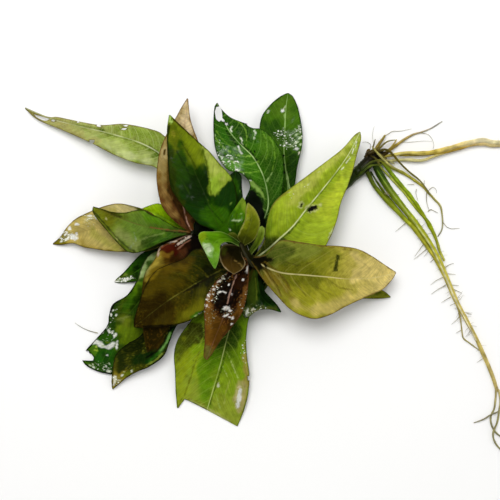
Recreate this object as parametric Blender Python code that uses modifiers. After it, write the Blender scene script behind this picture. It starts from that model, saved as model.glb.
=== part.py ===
"""A hygrophila, an aquarium stem plant, picked and lying on a table with its roots beside it.

The plan positions below are millimetres as seen from an eye EYE_HEIGHT above the table, so a high
leaf stands a little nearer the middle than its numbers say. Heights are above the table.
"""

import math

import bmesh
import bpy
from mathutils import Vector

MM = 0.001

# The point straight below the eye, from the middle of the plant's outline.
CENTRE_X = -8.0
CENTRE_Y = 9.65
EYE_HEIGHT = 620.0

LEAF_THICKNESS = 0.5
PETIOLE_HALF_WIDTH = 0.9
TIP_HALF_WIDTH = 0.25
# How far the left and right margins stand above the midrib, and how quickly they reach that.
MARGIN_LIFT = (0.8, 0.8)
BULGE_FULLNESS = 0.8
BLADE_ARCH = 0.5
LEAF_LENGTH_STEPS = 10
SMALL_LEAF_LENGTH_STEPS = 6
LEAF_ACROSS_STEPS = 4
GAP = 0.5
TABLE_CLEARANCE = 0.02

TUBE_SIDES_RESOLUTION = 2
CURVE_STEPS_PER_SPAN = 8
STEM_SEGMENTS = 18
SIDE_SHOOT_SEGMENTS = 9
ROOT_SEGMENTS = 10
ROOT_ROUGHNESS = 0.5

# Each point of a shoot or root is x, y, height of its axis, radius. The shoots end in the growing tips.
STEM = [
    (52.6, 38.6, 3.0, 2.6),
    (50.2, 36.2, 3.6, 3.5),
    (47.0, 33.2, 3.2, 3.0),
    (43.2, 29.9, 2.7, 2.8),
    (32.0, 20.4, 3.6, 2.8),
    (20.0, 10.4, 5.0, 2.8),
    (10.0, 1.6, 7.4, 2.8),
    (3.0, -4.4, 11.0, 2.6),
    (-0.6, -3.0, 18.0, 2.0),
    (-2.8, 0.6, 25.0, 1.5),
    (-3.6, 2.2, 28.5, 0.9),
]
SIDE_SHOOT = [
    (-2.0, -4.4, 8.5, 1.8),
    (-8.0, -2.6, 7.0, 1.9),
    (-15.0, 2.0, 6.5, 1.9),
    (-20.6, 5.4, 8.0, 1.8),
    (-22.8, 6.8, 12.0, 1.5),
    (-22.8, 7.0, 17.0, 1.0),
]

ROOTS = {
    "root_long_tan": dict(
        colour="B0A35A",
        axis=[
            (54.8, 37.8, 3.0, 0.7),
            (58.8, 38.4, 3.2, 0.75),
            (64.4, 38.9, 3.1, 0.75),
            (70.6, 38.8, 2.9, 0.8),
            (74.0, 39.3, 2.8, 1.0),
            (78.8, 40.3, 2.6, 1.2),
            (83.0, 41.4, 2.3, 1.3),
            (88.0, 42.7, 2.0, 1.4),
            (93.2, 43.6, 1.7, 1.6),
            (97.0, 42.8, 1.5, 1.4),
            (100.0, 42.2, 1.3, 1.3),
            (106.0, 41.0, 1.0, 0.9),
        ],
    ),
    "root_long_tan_branch": dict(
        colour="A89A58",
        axis=[
            (54.8, 35.1, 1.4, 0.55),
            (58.8, 35.9, 1.6, 0.6),
            (63.8, 35.9, 1.8, 0.6),
            (68.6, 35.8, 2.0, 0.6),
            (71.4, 36.4, 2.2, 0.55),
            (73.8, 37.4, 2.3, 0.45),
        ],
    ),
    "root_upper_thin": dict(
        colour="9C8C50",
        axis=[
            (55.4, 40.4, 2.2, 0.65),
            (58.8, 42.2, 1.2, 0.55),
            (62.0, 44.4, 0.7, 0.45),
            (65.4, 46.2, 0.5, 0.4),
            (68.6, 47.2, 0.4, 0.35),
            (71.9, 48.5, 0.3, 0.3),
            (76.8, 51.4, 0.3, 0.25),
        ],
    ),
    "root_short": dict(
        colour="4A4420",
        axis=[
            (51.6, 41.6, 3.4, 0.7),
            (52.6, 43.6, 2.6, 0.6),
            (53.6, 45.6, 1.6, 0.5),
        ],
    ),
    "root_main": dict(
        colour="6A7A24",
        axis=[
            (49.9, 30.2, 1.7, 1.5),
            (52.7, 25.5, 2.0, 1.8),
            (58.9, 18.0, 2.0, 1.9),
            (62.0, 14.0, 1.8, 1.7),
            (65.6, 10.2, 1.4, 1.4),
            (68.6, 6.2, 1.2, 1.2),
            (73.9, -1.2, 1.1, 1.1),
            (76.7, -6.4, 1.0, 1.0),
            (78.6, -11.6, 1.0, 1.0),
            (83.6, -22.4, 0.9, 0.9),
            (86.8, -28.8, 0.8, 0.8),
            (91.0, -36.4, 0.8, 0.8),
            (94.2, -44.0, 0.7, 0.7),
            (96.8, -49.8, 0.7, 0.7),
            (98.6, -55.0, 0.6, 0.6),
        ],
    ),
    "root_fork_left": dict(
        colour="8A8A40",
        axis=[
            (98.4, -56.6, 0.5, 0.4),
            (98.2, -59.6, 0.4, 0.4),
            (96.6, -65.2, 0.4, 0.4),
            (97.4, -70.8, 0.4, 0.4),
            (100.0, -73.6, 0.4, 0.4),
            (102.4, -75.6, 0.3, 0.3),
        ],
    ),
    "root_fork_right": dict(
        colour="8E8C48",
        axis=[
            (99.8, -56.4, 0.5, 0.4),
            (100.4, -60.0, 0.4, 0.4),
            (99.6, -65.6, 0.8, 0.4),
            (97.0, -71.2, 1.5, 0.4),
            (98.4, -77.2, 0.4, 0.4),
            (102.2, -82.0, 0.3, 0.3),
        ],
    ),
    "root_bundle_inner": dict(
        colour="5A7A12",
        axis=[
            (53.4, 32.2, 1.2, 0.5),
            (56.6, 28.4, 0.6, 0.5),
            (61.4, 23.4, 0.5, 0.5),
            (64.3, 18.9, 0.5, 0.5),
            (66.8, 15.4, 0.6, 0.55),
            (70.4, 12.2, 0.8, 0.75),
            (72.2, 9.3, 0.8, 0.8),
            (73.8, 6.1, 0.8, 0.75),
            (75.0, 3.0, 0.7, 0.65),
            (75.8, -0.3, 0.5, 0.5),
        ],
    ),
    "root_bundle_outer": dict(
        colour="7C8A2E",
        axis=[
            (55.8, 32.0, 0.8, 0.5),
            (58.9, 28.4, 0.7, 0.7),
            (63.5, 23.4, 0.7, 0.7),
            (66.5, 18.9, 0.7, 0.65),
            (69.0, 15.6, 0.5, 0.45),
        ],
    ),
    "root_thin_outer": dict(
        colour="9A9450",
        axis=[
            (57.4, 32.8, 0.8, 0.5),
            (62.0, 30.4, 0.6, 0.6),
            (66.2, 27.8, 0.6, 0.6),
            (69.6, 25.2, 0.6, 0.6),
            (73.9, 20.4, 0.5, 0.5),
            (76.4, 17.3, 0.4, 0.4),
            (77.0, 12.5, 0.4, 0.3),
            (76.9, 8.6, 0.3, 0.3),
            (75.8, 6.3, 0.3, 0.25),
        ],
    ),
    "root_thin_inner": dict(
        colour="8C8844",
        axis=[
            (55.8, 39.6, 5.0, 0.4),
            (57.8, 37.5, 5.0, 0.4),
            (60.4, 34.4, 3.8, 0.4),
            (63.8, 31.2, 2.2, 0.35),
            (67.6, 28.5, 1.6, 0.3),
            (69.8, 26.6, 1.6, 0.3),
        ],
    ),
    "root_side_branch": dict(
        colour="8C8A4C",
        axis=[
            (82.4, -24.4, 0.6, 0.35),
            (84.2, -29.6, 0.3, 0.3),
            (85.4, -35.0, 0.3, 0.3),
            (88.8, -38.6, 0.3, 0.25),
        ],
    ),
    "root_end_strand": dict(
        colour="948E54",
        axis=[
            (90.0, -69.2, 0.3, 0.25),
            (93.6, -67.6, 0.8, 0.3),
            (96.2, -66.2, 1.5, 0.3),
            (98.2, -64.8, 0.8, 0.25),
        ],
    ),
}

# Each leaf starts where its shoot's axis rises past its height. Its midrib is x, y, height; its two
# margins are x, y, left and right as walked from the base to the tip, seen from above.
SIDE_SHOOT_LEAVES = {
    "leaf_left_dark": dict(
        height=9.6,
        colour="1F5A10",
        roughness=0.3,
        midrib=[
            (-27.6, 6.0, 6.0),
            (-31.0, 2.6, 4.4),
            (-37.0, -2.6, 3.2),
            (-44.0, -7.6, 2.2),
            (-49.2, -10.8, 1.2),
            (-54.2, -12.8, 0.3),
        ],
        left=[(-27.0, 4.8), (-29.4, -1.0), (-34.0, -8.0), (-40.0, -11.2), (-45.6, -12.6), (-51.2, -13.2)],
        right=[
            (-28.6, 7.0),
            (-32.4, 5.2),
            (-38.0, 1.6),
            (-43.6, -1.6),
            (-47.2, -5.2),
            (-50.4, -8.8),
            (-53.2, -11.4),
        ],
    ),
    "leaf_lower_dark": dict(
        height=8.2,
        colour="1C4A10",
        roughness=0.2,
        margin_lift=(0.0, 0.6),
        midrib=[
            (-28.8, -0.8, 6.8),
            (-34.0, -8.0, 5.2),
            (-40.0, -15.6, 3.8),
            (-47.2, -24.0, 2.6),
            (-54.0, -31.6, 1.8),
            (-60.8, -38.4, 1.0),
            (-67.6, -43.2, 0.3),
        ],
        left=[
            (-25.6, -4.8),
            (-29.6, -16.0),
            (-34.0, -27.2),
            (-40.0, -38.0),
            (-47.2, -46.4),
            (-52.8, -49.6),
            (-58.8, -49.2),
            (-63.2, -47.6),
            (-66.0, -45.8),
        ],
        right=[
            (-32.0, 1.6),
            (-40.0, -1.6),
            (-43.6, -7.2),
            (-45.2, -12.0),
            (-49.2, -18.0),
            (-54.8, -21.6),
            (-56.4, -26.0),
            (-57.2, -30.4),
            (-62.4, -36.4),
            (-65.6, -40.0),
        ],
    ),
    "leaf_lower_mottled": dict(
        height=7.2,
        colour="3A4A12",
        roughness=0.25,
        midrib=[
            (-17.4, -2.6, 8.2),
            (-21.2, -8.0, 8.8),
            (-24.8, -14.0, 8.8),
            (-30.8, -24.0, 8.0),
            (-37.2, -33.2, 6.8),
            (-43.6, -41.2, 5.2),
            (-49.6, -48.8, 3.2),
            (-55.0, -55.6, 1.0),
        ],
        left=[
            (-16.8, -4.4),
            (-17.2, -10.0),
            (-20.8, -18.8),
            (-26.0, -26.0),
            (-30.4, -30.8),
            (-32.8, -36.4),
            (-35.2, -42.4),
            (-40.0, -46.6),
            (-45.2, -48.8),
            (-49.6, -51.4),
            (-53.2, -54.4),
        ],
        right=[
            (-20.6, -2.6),
            (-26.0, -6.4),
            (-31.2, -12.0),
            (-36.8, -21.2),
            (-40.0, -28.8),
            (-44.0, -34.4),
            (-49.2, -37.6),
            (-53.2, -41.2),
            (-54.8, -46.0),
            (-55.4, -52.0),
        ],
    ),
    "leaf_left_sliver": dict(
        height=10.2,
        colour="7FB800",
        roughness=0.4,
        midrib=[(-28.0, 8.8, 8.3), (-34.0, 12.4, 7.7), (-40.0, 15.2, 7.4), (-44.8, 15.6, 7.2)],
        left=[(-28.8, 6.4), (-36.0, 8.8), (-42.0, 12.4)],
        right=[(-29.6, 13.2), (-32.0, 16.8), (-36.8, 18.6), (-40.8, 17.6)],
    ),
    "leaf_left_long": dict(
        height=11.0,
        colour="A3B55A",
        roughness=0.4,
        midrib=[
            (-24.0, 16.0, 10.5),
            (-26.8, 27.2, 10.0),
            (-34.0, 36.8, 9.0),
            (-42.8, 42.4, 8.0),
            (-55.2, 46.4, 6.5),
            (-68.4, 49.6, 4.5),
            (-79.2, 52.4, 2.5),
            (-90.0, 56.8, 0.28),
        ],
        left=[
            (-26.4, 15.2),
            (-31.0, 26.0),
            (-37.6, 32.8),
            (-46.0, 34.8),
            (-55.2, 38.4),
            (-63.6, 42.8),
            (-74.4, 47.6),
            (-84.8, 52.0),
        ],
        right=[
            (-21.6, 17.2),
            (-23.0, 29.0),
            (-28.0, 40.0),
            (-34.2, 45.6),
            (-38.4, 48.0),
            (-50.0, 50.4),
            (-59.6, 50.0),
            (-69.2, 51.6),
            (-76.8, 53.2),
            (-81.2, 53.4),
        ],
    ),
    "leaf_left_yellow": dict(
        height=12.4,
        colour="B5A452",
        roughness=0.4,
        midrib=[
            (-34.0, 5.6, 10.5),
            (-46.0, 7.6, 8.6),
            (-56.8, 8.8, 6.4),
            (-66.0, 7.6, 4.2),
            (-72.8, 5.2, 2.4),
            (-78.8, 2.4, 0.3),
        ],
        left=[
            (-32.0, 2.8),
            (-40.8, -0.4),
            (-50.8, -0.8),
            (-57.6, -0.4),
            (-62.4, 0.4),
            (-66.4, 1.0),
            (-70.8, 2.6),
            (-75.2, 2.0),
        ],
        right=[
            (-32.8, 9.6),
            (-40.0, 15.2),
            (-47.6, 17.8),
            (-53.2, 18.6),
            (-58.8, 17.4),
            (-64.4, 15.2),
            (-69.6, 12.6),
            (-73.2, 9.2),
            (-76.0, 5.2),
        ],
    ),
    "leaf_purple_fold": dict(
        height=14.8,
        colour="6A4A14",
        roughness=0.35,
        midrib=[
            (-26.4, 3.6, 15.0),
            (-29.2, 0.0, 14.6),
            (-30.4, -6.0, 14.0),
            (-32.8, -12.0, 13.2),
            (-35.6, -20.0, 12.0),
            (-38.4, -30.0, 10.0),
            (-41.0, -40.8, 8.4),
        ],
        left=[
            (-25.6, 1.2),
            (-24.0, -4.8),
            (-23.6, -12.0),
            (-25.2, -20.0),
            (-28.8, -26.8),
            (-32.8, -31.2),
            (-36.8, -36.8),
            (-39.6, -39.8),
        ],
        right=[
            (-28.6, 4.6),
            (-32.8, 3.0),
            (-36.4, 0.8),
            (-38.4, -4.0),
            (-42.0, -9.2),
            (-43.2, -16.0),
            (-43.2, -23.2),
            (-42.8, -32.0),
            (-41.8, -38.0),
        ],
    ),
    "leaf_left_olive": dict(
        height=16.0,
        colour="4E7A2E",
        roughness=0.35,
        midrib=[
            (-30.0, 7.6, 15.4),
            (-36.0, 8.4, 14.6),
            (-42.0, 9.4, 13.8),
            (-50.0, 12.0, 12.4),
            (-56.8, 14.8, 10.8),
            (-62.8, 17.2, 9.0),
        ],
        left=[
            (-28.8, 5.2),
            (-36.0, 2.6),
            (-40.8, 0.4),
            (-45.2, -1.2),
            (-49.2, -0.6),
            (-52.8, 2.6),
            (-57.2, 7.6),
            (-61.2, 12.4),
            (-63.0, 15.4),
        ],
        right=[
            (-28.8, 8.8),
            (-36.0, 12.8),
            (-40.0, 14.6),
            (-42.8, 16.0),
            (-46.4, 15.8),
            (-50.0, 15.0),
            (-54.8, 15.2),
            (-59.6, 16.6),
        ],
    ),
    "leaf_top_tan": dict(
        height=16.8,
        colour="B89B5E",
        roughness=0.4,
        midrib=[
            (-25.6, 11.2, 16.8),
            (-26.8, 18.8, 16.4),
            (-27.2, 30.0, 15.6),
            (-26.8, 44.0, 13.4),
            (-25.6, 54.0, 11.0),
            (-25.0, 60.6, 9.0),
        ],
        left=[
            (-27.6, 9.4),
            (-32.0, 13.2),
            (-35.6, 18.4),
            (-37.4, 28.0),
            (-36.8, 36.0),
            (-35.6, 41.2),
            (-32.8, 47.6),
            (-29.8, 52.8),
            (-27.6, 56.8),
        ],
        right=[
            (-22.4, 10.8),
            (-18.4, 14.8),
            (-15.8, 22.8),
            (-16.0, 28.0),
            (-18.0, 37.2),
            (-21.2, 44.8),
            (-23.8, 52.4),
        ],
    ),
}
STEM_LEAVES = {
    "leaf_upper_round": dict(
        height=6.4,
        colour="3C7020",
        roughness=0.25,
        midrib=[
            (11.6, 10.4, 5.8),
            (14.2, 16.4, 5.4),
            (15.2, 24.0, 5.2),
            (14.4, 31.2, 5.0),
            (13.6, 40.0, 4.4),
            (14.0, 49.2, 3.2),
            (14.4, 56.8, 1.8),
            (15.2, 62.8, 0.3),
        ],
        left=[
            (10.8, 12.0),
            (10.0, 23.2),
            (7.2, 32.0),
            (4.8, 40.8),
            (3.8, 48.0),
            (4.8, 53.6),
            (8.0, 58.0),
            (12.0, 61.4),
        ],
        right=[
            (13.4, 12.0),
            (17.6, 24.8),
            (19.0, 33.6),
            (20.8, 41.2),
            (21.0, 46.8),
            (20.2, 52.4),
            (19.0, 57.6),
            (17.2, 61.4),
        ],
    ),
    "leaf_bottom_green": dict(
        height=8.0,
        colour="8DA22A",
        roughness=0.35,
        blunt=True,
        midrib=[
            (10.0, -6.2, 7.2),
            (4.6, -14.2, 7.8),
            (-5.6, -24.8, 7.4),
            (-8.8, -34.0, 6.2),
            (-11.6, -44.8, 4.2),
            (-14.0, -53.2, 2.2),
            (-16.8, -63.0, 0.3),
        ],
        left=[
            (10.4, -8.6),
            (5.4, -17.0),
            (0.2, -25.6),
            (-1.4, -34.0),
            (-1.2, -42.0),
            (-0.2, -50.0),
            (-0.6, -56.8),
            (-2.2, -63.6),
            (-5.0, -70.6),
        ],
        right=[
            (7.4, -7.2),
            (0.0, -11.6),
            (-10.6, -16.0),
            (-18.8, -22.8),
            (-24.4, -29.2),
            (-28.8, -35.6),
            (-30.4, -41.6),
            (-30.0, -48.8),
            (-29.8, -56.0),
            (-29.2, -63.2),
        ],
    ),
    "leaf_right_hidden": dict(
        height=10.4,
        colour="4F7A1A",
        roughness=0.35,
        midrib=[
            (12.0, -8.0, 9.0),
            (24.0, -13.2, 7.0),
            (38.0, -16.0, 4.6),
            (48.0, -18.0, 2.6),
            (56.2, -18.8, 1.2),
        ],
        left=[(14.0, -5.6), (26.0, -8.0), (38.0, -10.4), (48.0, -13.6), (53.6, -16.4)],
        right=[(12.0, -11.2), (27.2, -18.4), (38.0, -19.6), (44.8, -19.5), (51.2, -19.5)],
    ),
    "leaf_upper_glossy": dict(
        height=11.4,
        colour="2F6B12",
        roughness=0.2,
        midrib=[
            (1.4, 2.4, 11.2),
            (4.4, 9.4, 10.8),
            (7.2, 17.2, 10.4),
            (6.8, 24.0, 10.0),
            (4.8, 30.8, 9.6),
            (1.2, 37.2, 9.2),
            (-3.6, 42.0, 8.6),
            (-8.0, 47.2, 7.4),
            (-11.2, 53.2, 5.8),
            (-13.2, 58.8, 4.4),
        ],
        left=[
            (-0.4, 3.4),
            (1.4, 11.0),
            (1.6, 18.8),
            (0.0, 25.6),
            (-3.2, 30.4),
            (-8.4, 31.8),
            (-12.0, 35.6),
            (-14.0, 40.8),
            (-14.6, 47.2),
            (-14.6, 53.2),
            (-14.2, 57.2),
        ],
        right=[
            (3.6, 1.8),
            (8.4, 9.6),
            (12.4, 21.2),
            (13.6, 29.6),
            (12.6, 38.8),
            (8.0, 46.0),
            (2.8, 49.2),
            (-2.8, 51.0),
            (-8.0, 53.2),
            (-11.6, 56.6),
        ],
    ),
    "leaf_under_dark": dict(
        height=12.4,
        colour="12400E",
        roughness=0.25,
        steps=8,
        midrib=[(2.8, -10.0, 11.8), (3.6, -16.0, 11.0), (6.4, -20.8, 10.0), (12.4, -24.8, 8.6)],
        left=[(5.0, -12.4), (6.0, -16.4), (8.2, -19.0), (10.8, -21.8)],
        right=[(0.0, -11.2), (-2.8, -18.0), (-3.2, -24.4), (-1.2, -27.2), (2.8, -24.4), (7.6, -23.8)],
    ),
    "leaf_right_lime": dict(
        height=14.0,
        colour="9BBE2F",
        roughness=0.4,
        midrib=[
            (7.2, 0.4, 14.0),
            (11.6, 4.4, 13.8),
            (17.2, 9.6, 13.4),
            (23.2, 17.2, 12.8),
            (28.8, 24.0, 12.2),
            (34.8, 31.6, 11.4),
            (40.0, 39.2, 10.2),
            (44.0, 47.2, 8.6),
        ],
        left=[
            (5.4, 3.0),
            (6.4, 9.6),
            (8.0, 16.0),
            (10.4, 20.0),
            (15.2, 24.0),
            (20.8, 28.2),
            (26.4, 32.4),
            (32.0, 36.6),
            (37.2, 40.8),
            (41.6, 45.8),
        ],
        right=[
            (11.0, -3.0),
            (20.0, -4.8),
            (28.0, -1.2),
            (32.0, 4.8),
            (34.8, 12.0),
            (36.4, 18.8),
            (38.8, 24.8),
            (41.2, 32.0),
            (42.8, 38.0),
            (44.4, 44.0),
        ],
    ),
    "leaf_brown_broad": dict(
        height=17.4,
        colour="5E5512",
        roughness=0.35,
        midrib=[
            (-8.8, -6.8, 17.6),
            (-14.0, -9.2, 17.6),
            (-20.0, -12.4, 17.2),
            (-26.8, -16.4, 16.6),
            (-33.6, -20.8, 15.4),
            (-40.4, -26.0, 13.8),
            (-46.4, -30.8, 12.0),
        ],
        left=[
            (-8.8, -11.2),
            (-12.8, -18.0),
            (-18.0, -24.0),
            (-23.6, -28.0),
            (-29.6, -30.0),
            (-36.0, -30.8),
            (-42.0, -31.2),
        ],
        right=[
            (-10.0, -4.8),
            (-16.0, -4.8),
            (-23.2, -4.0),
            (-30.0, -4.8),
            (-36.8, -7.6),
            (-41.6, -13.6),
            (-44.4, -21.2),
            (-46.2, -27.2),
        ],
    ),
    "leaf_right_olive": dict(
        height=17.6,
        colour="A79B3E",
        roughness=0.4,
        midrib=[
            (7.2, -7.2, 17.2),
            (13.2, -9.2, 16.8),
            (22.0, -10.0, 16.0),
            (31.2, -10.8, 15.0),
            (40.0, -11.6, 13.4),
            (50.0, -11.0, 10.6),
            (58.4, -9.0, 7.6),
        ],
        left=[
            (6.4, -1.6),
            (12.0, 3.8),
            (20.0, 3.2),
            (28.0, 2.0),
            (36.0, 1.6),
            (43.2, 0.4),
            (48.8, -2.4),
            (54.4, -6.2),
        ],
        right=[
            (5.6, -12.4),
            (10.8, -18.4),
            (15.6, -23.4),
            (20.4, -26.2),
            (26.0, -27.6),
            (32.0, -26.0),
            (38.0, -22.8),
            (44.8, -19.6),
            (52.8, -16.0),
            (56.8, -12.0),
        ],
    ),
    "bud_pale": dict(
        height=19.2,
        colour="A9C77A",
        roughness=0.35,
        steps=4,
        midrib=[(3.4, 4.0, 19.6), (4.8, 9.6, 18.8)],
        left=[(1.9, 4.0), (3.2, 8.4)],
        right=[(5.0, 3.6), (6.0, 8.0)],
    ),
    "leaf_inner_dark": dict(
        height=20.0,
        colour="1E4010",
        roughness=0.3,
        steps=8,
        midrib=[(-4.8, 10.0, 20.0), (-6.4, 18.0, 19.6), (-6.4, 25.2, 18.8), (-5.6, 31.8, 17.6)],
        left=[(-8.6, 9.6), (-13.2, 14.0), (-14.6, 20.0), (-11.2, 25.2), (-8.4, 29.6)],
        right=[(-2.8, 10.0), (-2.6, 18.0), (-3.2, 24.8), (-3.4, 29.6)],
    ),
    "leaf_red_wet": dict(
        height=21.0,
        colour="6A3A1C",
        roughness=0.15,
        midrib=[
            (-4.0, -6.0, 21.4),
            (-6.0, -11.2, 21.0),
            (-8.0, -18.0, 20.4),
            (-10.4, -26.0, 19.0),
            (-14.0, -35.2, 16.8),
            (-17.4, -44.0, 14.6),
        ],
        left=[
            (-0.4, -7.6),
            (-0.6, -12.8),
            (-1.4, -19.2),
            (-3.2, -25.2),
            (-7.2, -30.8),
            (-11.6, -36.0),
            (-15.4, -42.0),
        ],
        right=[
            (-8.8, -8.4),
            (-13.2, -12.0),
            (-17.2, -18.0),
            (-18.4, -23.2),
            (-18.2, -30.0),
            (-18.2, -37.2),
            (-18.6, -42.4),
        ],
    ),
    "leaf_top_broad": dict(
        height=23.0,
        colour="6E8A22",
        roughness=0.3,
        midrib=[
            (-8.8, 4.8, 24.0),
            (-12.4, 8.8, 24.4),
            (-15.2, 15.2, 24.4),
            (-18.0, 22.0, 24.0),
            (-21.2, 29.2, 23.0),
            (-24.0, 36.0, 21.6),
            (-28.0, 45.2, 19.0),
            (-32.2, 54.0, 15.4),
        ],
        left=[
            (-10.4, 3.6),
            (-14.8, 8.0),
            (-20.0, 10.2),
            (-24.0, 14.0),
            (-29.6, 21.2),
            (-32.0, 26.0),
            (-32.8, 34.0),
            (-33.2, 42.0),
            (-33.2, 48.8),
        ],
        right=[
            (-7.2, 6.6),
            (-6.4, 10.8),
            (-5.6, 15.8),
            (-5.2, 20.8),
            (-6.0, 25.6),
            (-8.0, 30.0),
            (-12.0, 34.4),
            (-16.0, 39.2),
            (-20.0, 42.8),
            (-25.2, 47.6),
            (-29.6, 51.8),
        ],
    ),
    "leaf_young_cupped": dict(
        height=25.4,
        colour="4A3A18",
        roughness=0.3,
        steps=SMALL_LEAF_LENGTH_STEPS,
        margin_lift=(2.6, 3.2),
        arch=-0.3,
        midrib=[(-5.6, 0.0, 24.8), (-7.6, -4.0, 24.6), (-6.4, -9.6, 26.6)],
        left=[(-3.0, -2.6), (-1.8, -5.2), (-3.2, -7.8)],
        right=[(-8.8, 2.4), (-11.6, 1.2), (-12.4, -2.4), (-10.4, -7.0)],
    ),
    "leaf_young_upright": dict(
        height=25.8,
        colour="4C9423",
        roughness=0.3,
        steps=SMALL_LEAF_LENGTH_STEPS,
        midrib=[(-5.2, 8.0, 26.8), (-4.8, 14.0, 26.8), (-3.6, 18.0, 26.2), (-2.8, 21.0, 25.4)],
        left=[(-8.6, 8.4), (-8.4, 12.8), (-6.4, 16.4), (-4.2, 19.6)],
        right=[(-3.4, 8.4), (-2.0, 12.4), (-1.4, 15.6), (-1.6, 18.8)],
    ),
    "leaf_young_arched": dict(
        height=27.4,
        colour="7A8428",
        roughness=0.3,
        steps=SMALL_LEAF_LENGTH_STEPS,
        midrib=[(-1.6, 5.6, 29.4), (-0.4, 8.8, 30.4), (0.8, 13.6, 30.4), (-0.8, 18.8, 28.6)],
        left=[(-5.0, 5.2), (-4.0, 8.0), (-2.0, 12.4), (-1.8, 16.4)],
        right=[(1.4, 3.8), (3.4, 7.6), (4.0, 11.6), (2.2, 16.0)],
    ),
    "bud_scale": dict(
        height=27.0,
        colour="5E6A1E",
        roughness=0.35,
        steps=4,
        midrib=[(-6.4, 4.8, 27.6), (-9.4, 5.6, 27.4)],
        left=[(-6.0, 3.6), (-8.4, 4.2)],
        right=[(-5.6, 6.6), (-8.0, 7.0)],
    ),
    "leaf_small_bright": dict(
        height=28.4,
        colour="79B53F",
        roughness=0.3,
        steps=SMALL_LEAF_LENGTH_STEPS,
        midrib=[
            (-8.0, 4.4, 31.2),
            (-12.8, 4.0, 31.8),
            (-15.2, 0.8, 31.8),
            (-14.8, -3.6, 31.0),
            (-14.0, -7.4, 30.2),
        ],
        left=[(-8.4, 3.2), (-11.6, 2.2), (-12.0, -0.8), (-12.6, -4.4)],
        right=[
            (-8.0, 5.8),
            (-11.6, 7.4),
            (-15.6, 7.4),
            (-19.6, 7.2),
            (-20.6, 4.8),
            (-18.0, -0.8),
            (-16.0, -4.8),
        ],
    ),
}


def clear_scene():
    for obj in list(bpy.data.objects):
        bpy.data.objects.remove(obj, do_unlink=True)


def place(x, y, z):
    """A seen plan position and a height, in millimetres, as a world point in metres."""
    shrink = 1 - z / EYE_HEIGHT
    return Vector((CENTRE_X + x * shrink, CENTRE_Y + y * shrink, z)) * MM


def smooth_curve(points):
    """The points of a Catmull-Rom curve through these points."""
    first = points[0] * 2 - points[1]
    last = points[-1] * 2 - points[-2]
    padded = [first, *points, last]
    curve = []
    for a, b, c, d in zip(padded, padded[1:], padded[2:], padded[3:]):
        for step in range(CURVE_STEPS_PER_SPAN):
            t = step / CURVE_STEPS_PER_SPAN
            bend = (c - a) * t + (a * 2 - b * 5 + c * 4 - d) * t**2 + (b * 3 - a - c * 3 + d) * t**3
            curve.append(b + bend * 0.5)
    curve.append(points[-1].copy())
    return curve


def evenly_spaced(curve, segments):
    """Points at equal lengths along the curve, its two ends included."""
    reached = [0.0]
    for a, b in zip(curve, curve[1:]):
        reached.append(reached[-1] + (b - a).length)
    points = []
    span = 0
    for step in range(segments + 1):
        wanted = reached[-1] * step / segments
        while span < len(curve) - 2 and reached[span + 1] < wanted:
            span += 1
        share = (wanted - reached[span]) / (reached[span + 1] - reached[span])
        points.append(curve[span].lerp(curve[span + 1], min(1.0, share)))
    return points


def linear_colour(code):
    """An sRGB code such as A3B55A as the linear colour that a shader takes."""
    channels = [int(code[i : i + 2], 16) / 255 for i in (0, 2, 4)]
    linear = [((c + 0.055) / 1.055) ** 2.4 if c > 0.04045 else c / 12.92 for c in channels]
    return (*linear, 1.0)


def make_material(name, code, roughness):
    material = bpy.data.materials.new(name)
    material.use_nodes = True
    shader = material.node_tree.nodes["Principled BSDF"]
    shader.inputs["Base Color"].default_value = linear_colour(code)
    shader.inputs["Roughness"].default_value = roughness
    shader.inputs["Metallic"].default_value = 0.0
    return material


def make_tube(name, collection, colour, axis, roughness=ROOT_ROUGHNESS, segments=ROOT_SEGMENTS):
    """A round tapering tube along x, y, height, radius points, as a curve with filled caps."""
    samples = evenly_spaced(smooth_curve([Vector(point) for point in axis]), segments)
    curve = bpy.data.curves.new(name, "CURVE")
    curve.dimensions = "3D"
    curve.bevel_depth = MM
    curve.bevel_resolution = TUBE_SIDES_RESOLUTION
    curve.use_fill_caps = True
    spline = curve.splines.new("POLY")
    spline.points.add(len(samples) - 1)
    base = place(*samples[0][:3])
    for point, (x, y, z, radius) in zip(spline.points, samples):
        height = max(z, radius + TABLE_CLEARANCE)
        point.co = (*(place(x, y, height) - base), 1.0)
        point.radius = radius
    curve.materials.append(make_material(name, colour, roughness))
    tube = bpy.data.objects.new(name, curve)
    tube.location = base
    collection.objects.link(tube)
    return tube


def joint_on(shoot, height):
    """Where a shoot's axis rises past this height: the point, the radius and the direction there."""
    samples = smooth_curve([Vector(point) for point in shoot])
    lowest = min(range(len(samples)), key=lambda i: samples[i].z)
    for a, b in zip(samples[lowest:], samples[lowest + 1 :]):
        if a.z <= height <= b.z:
            break
    here = a.lerp(b, (height - a.z) / (b.z - a.z))
    return Vector(here[:3]), here.w, Vector((b - a)[:3]).normalized()


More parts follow.
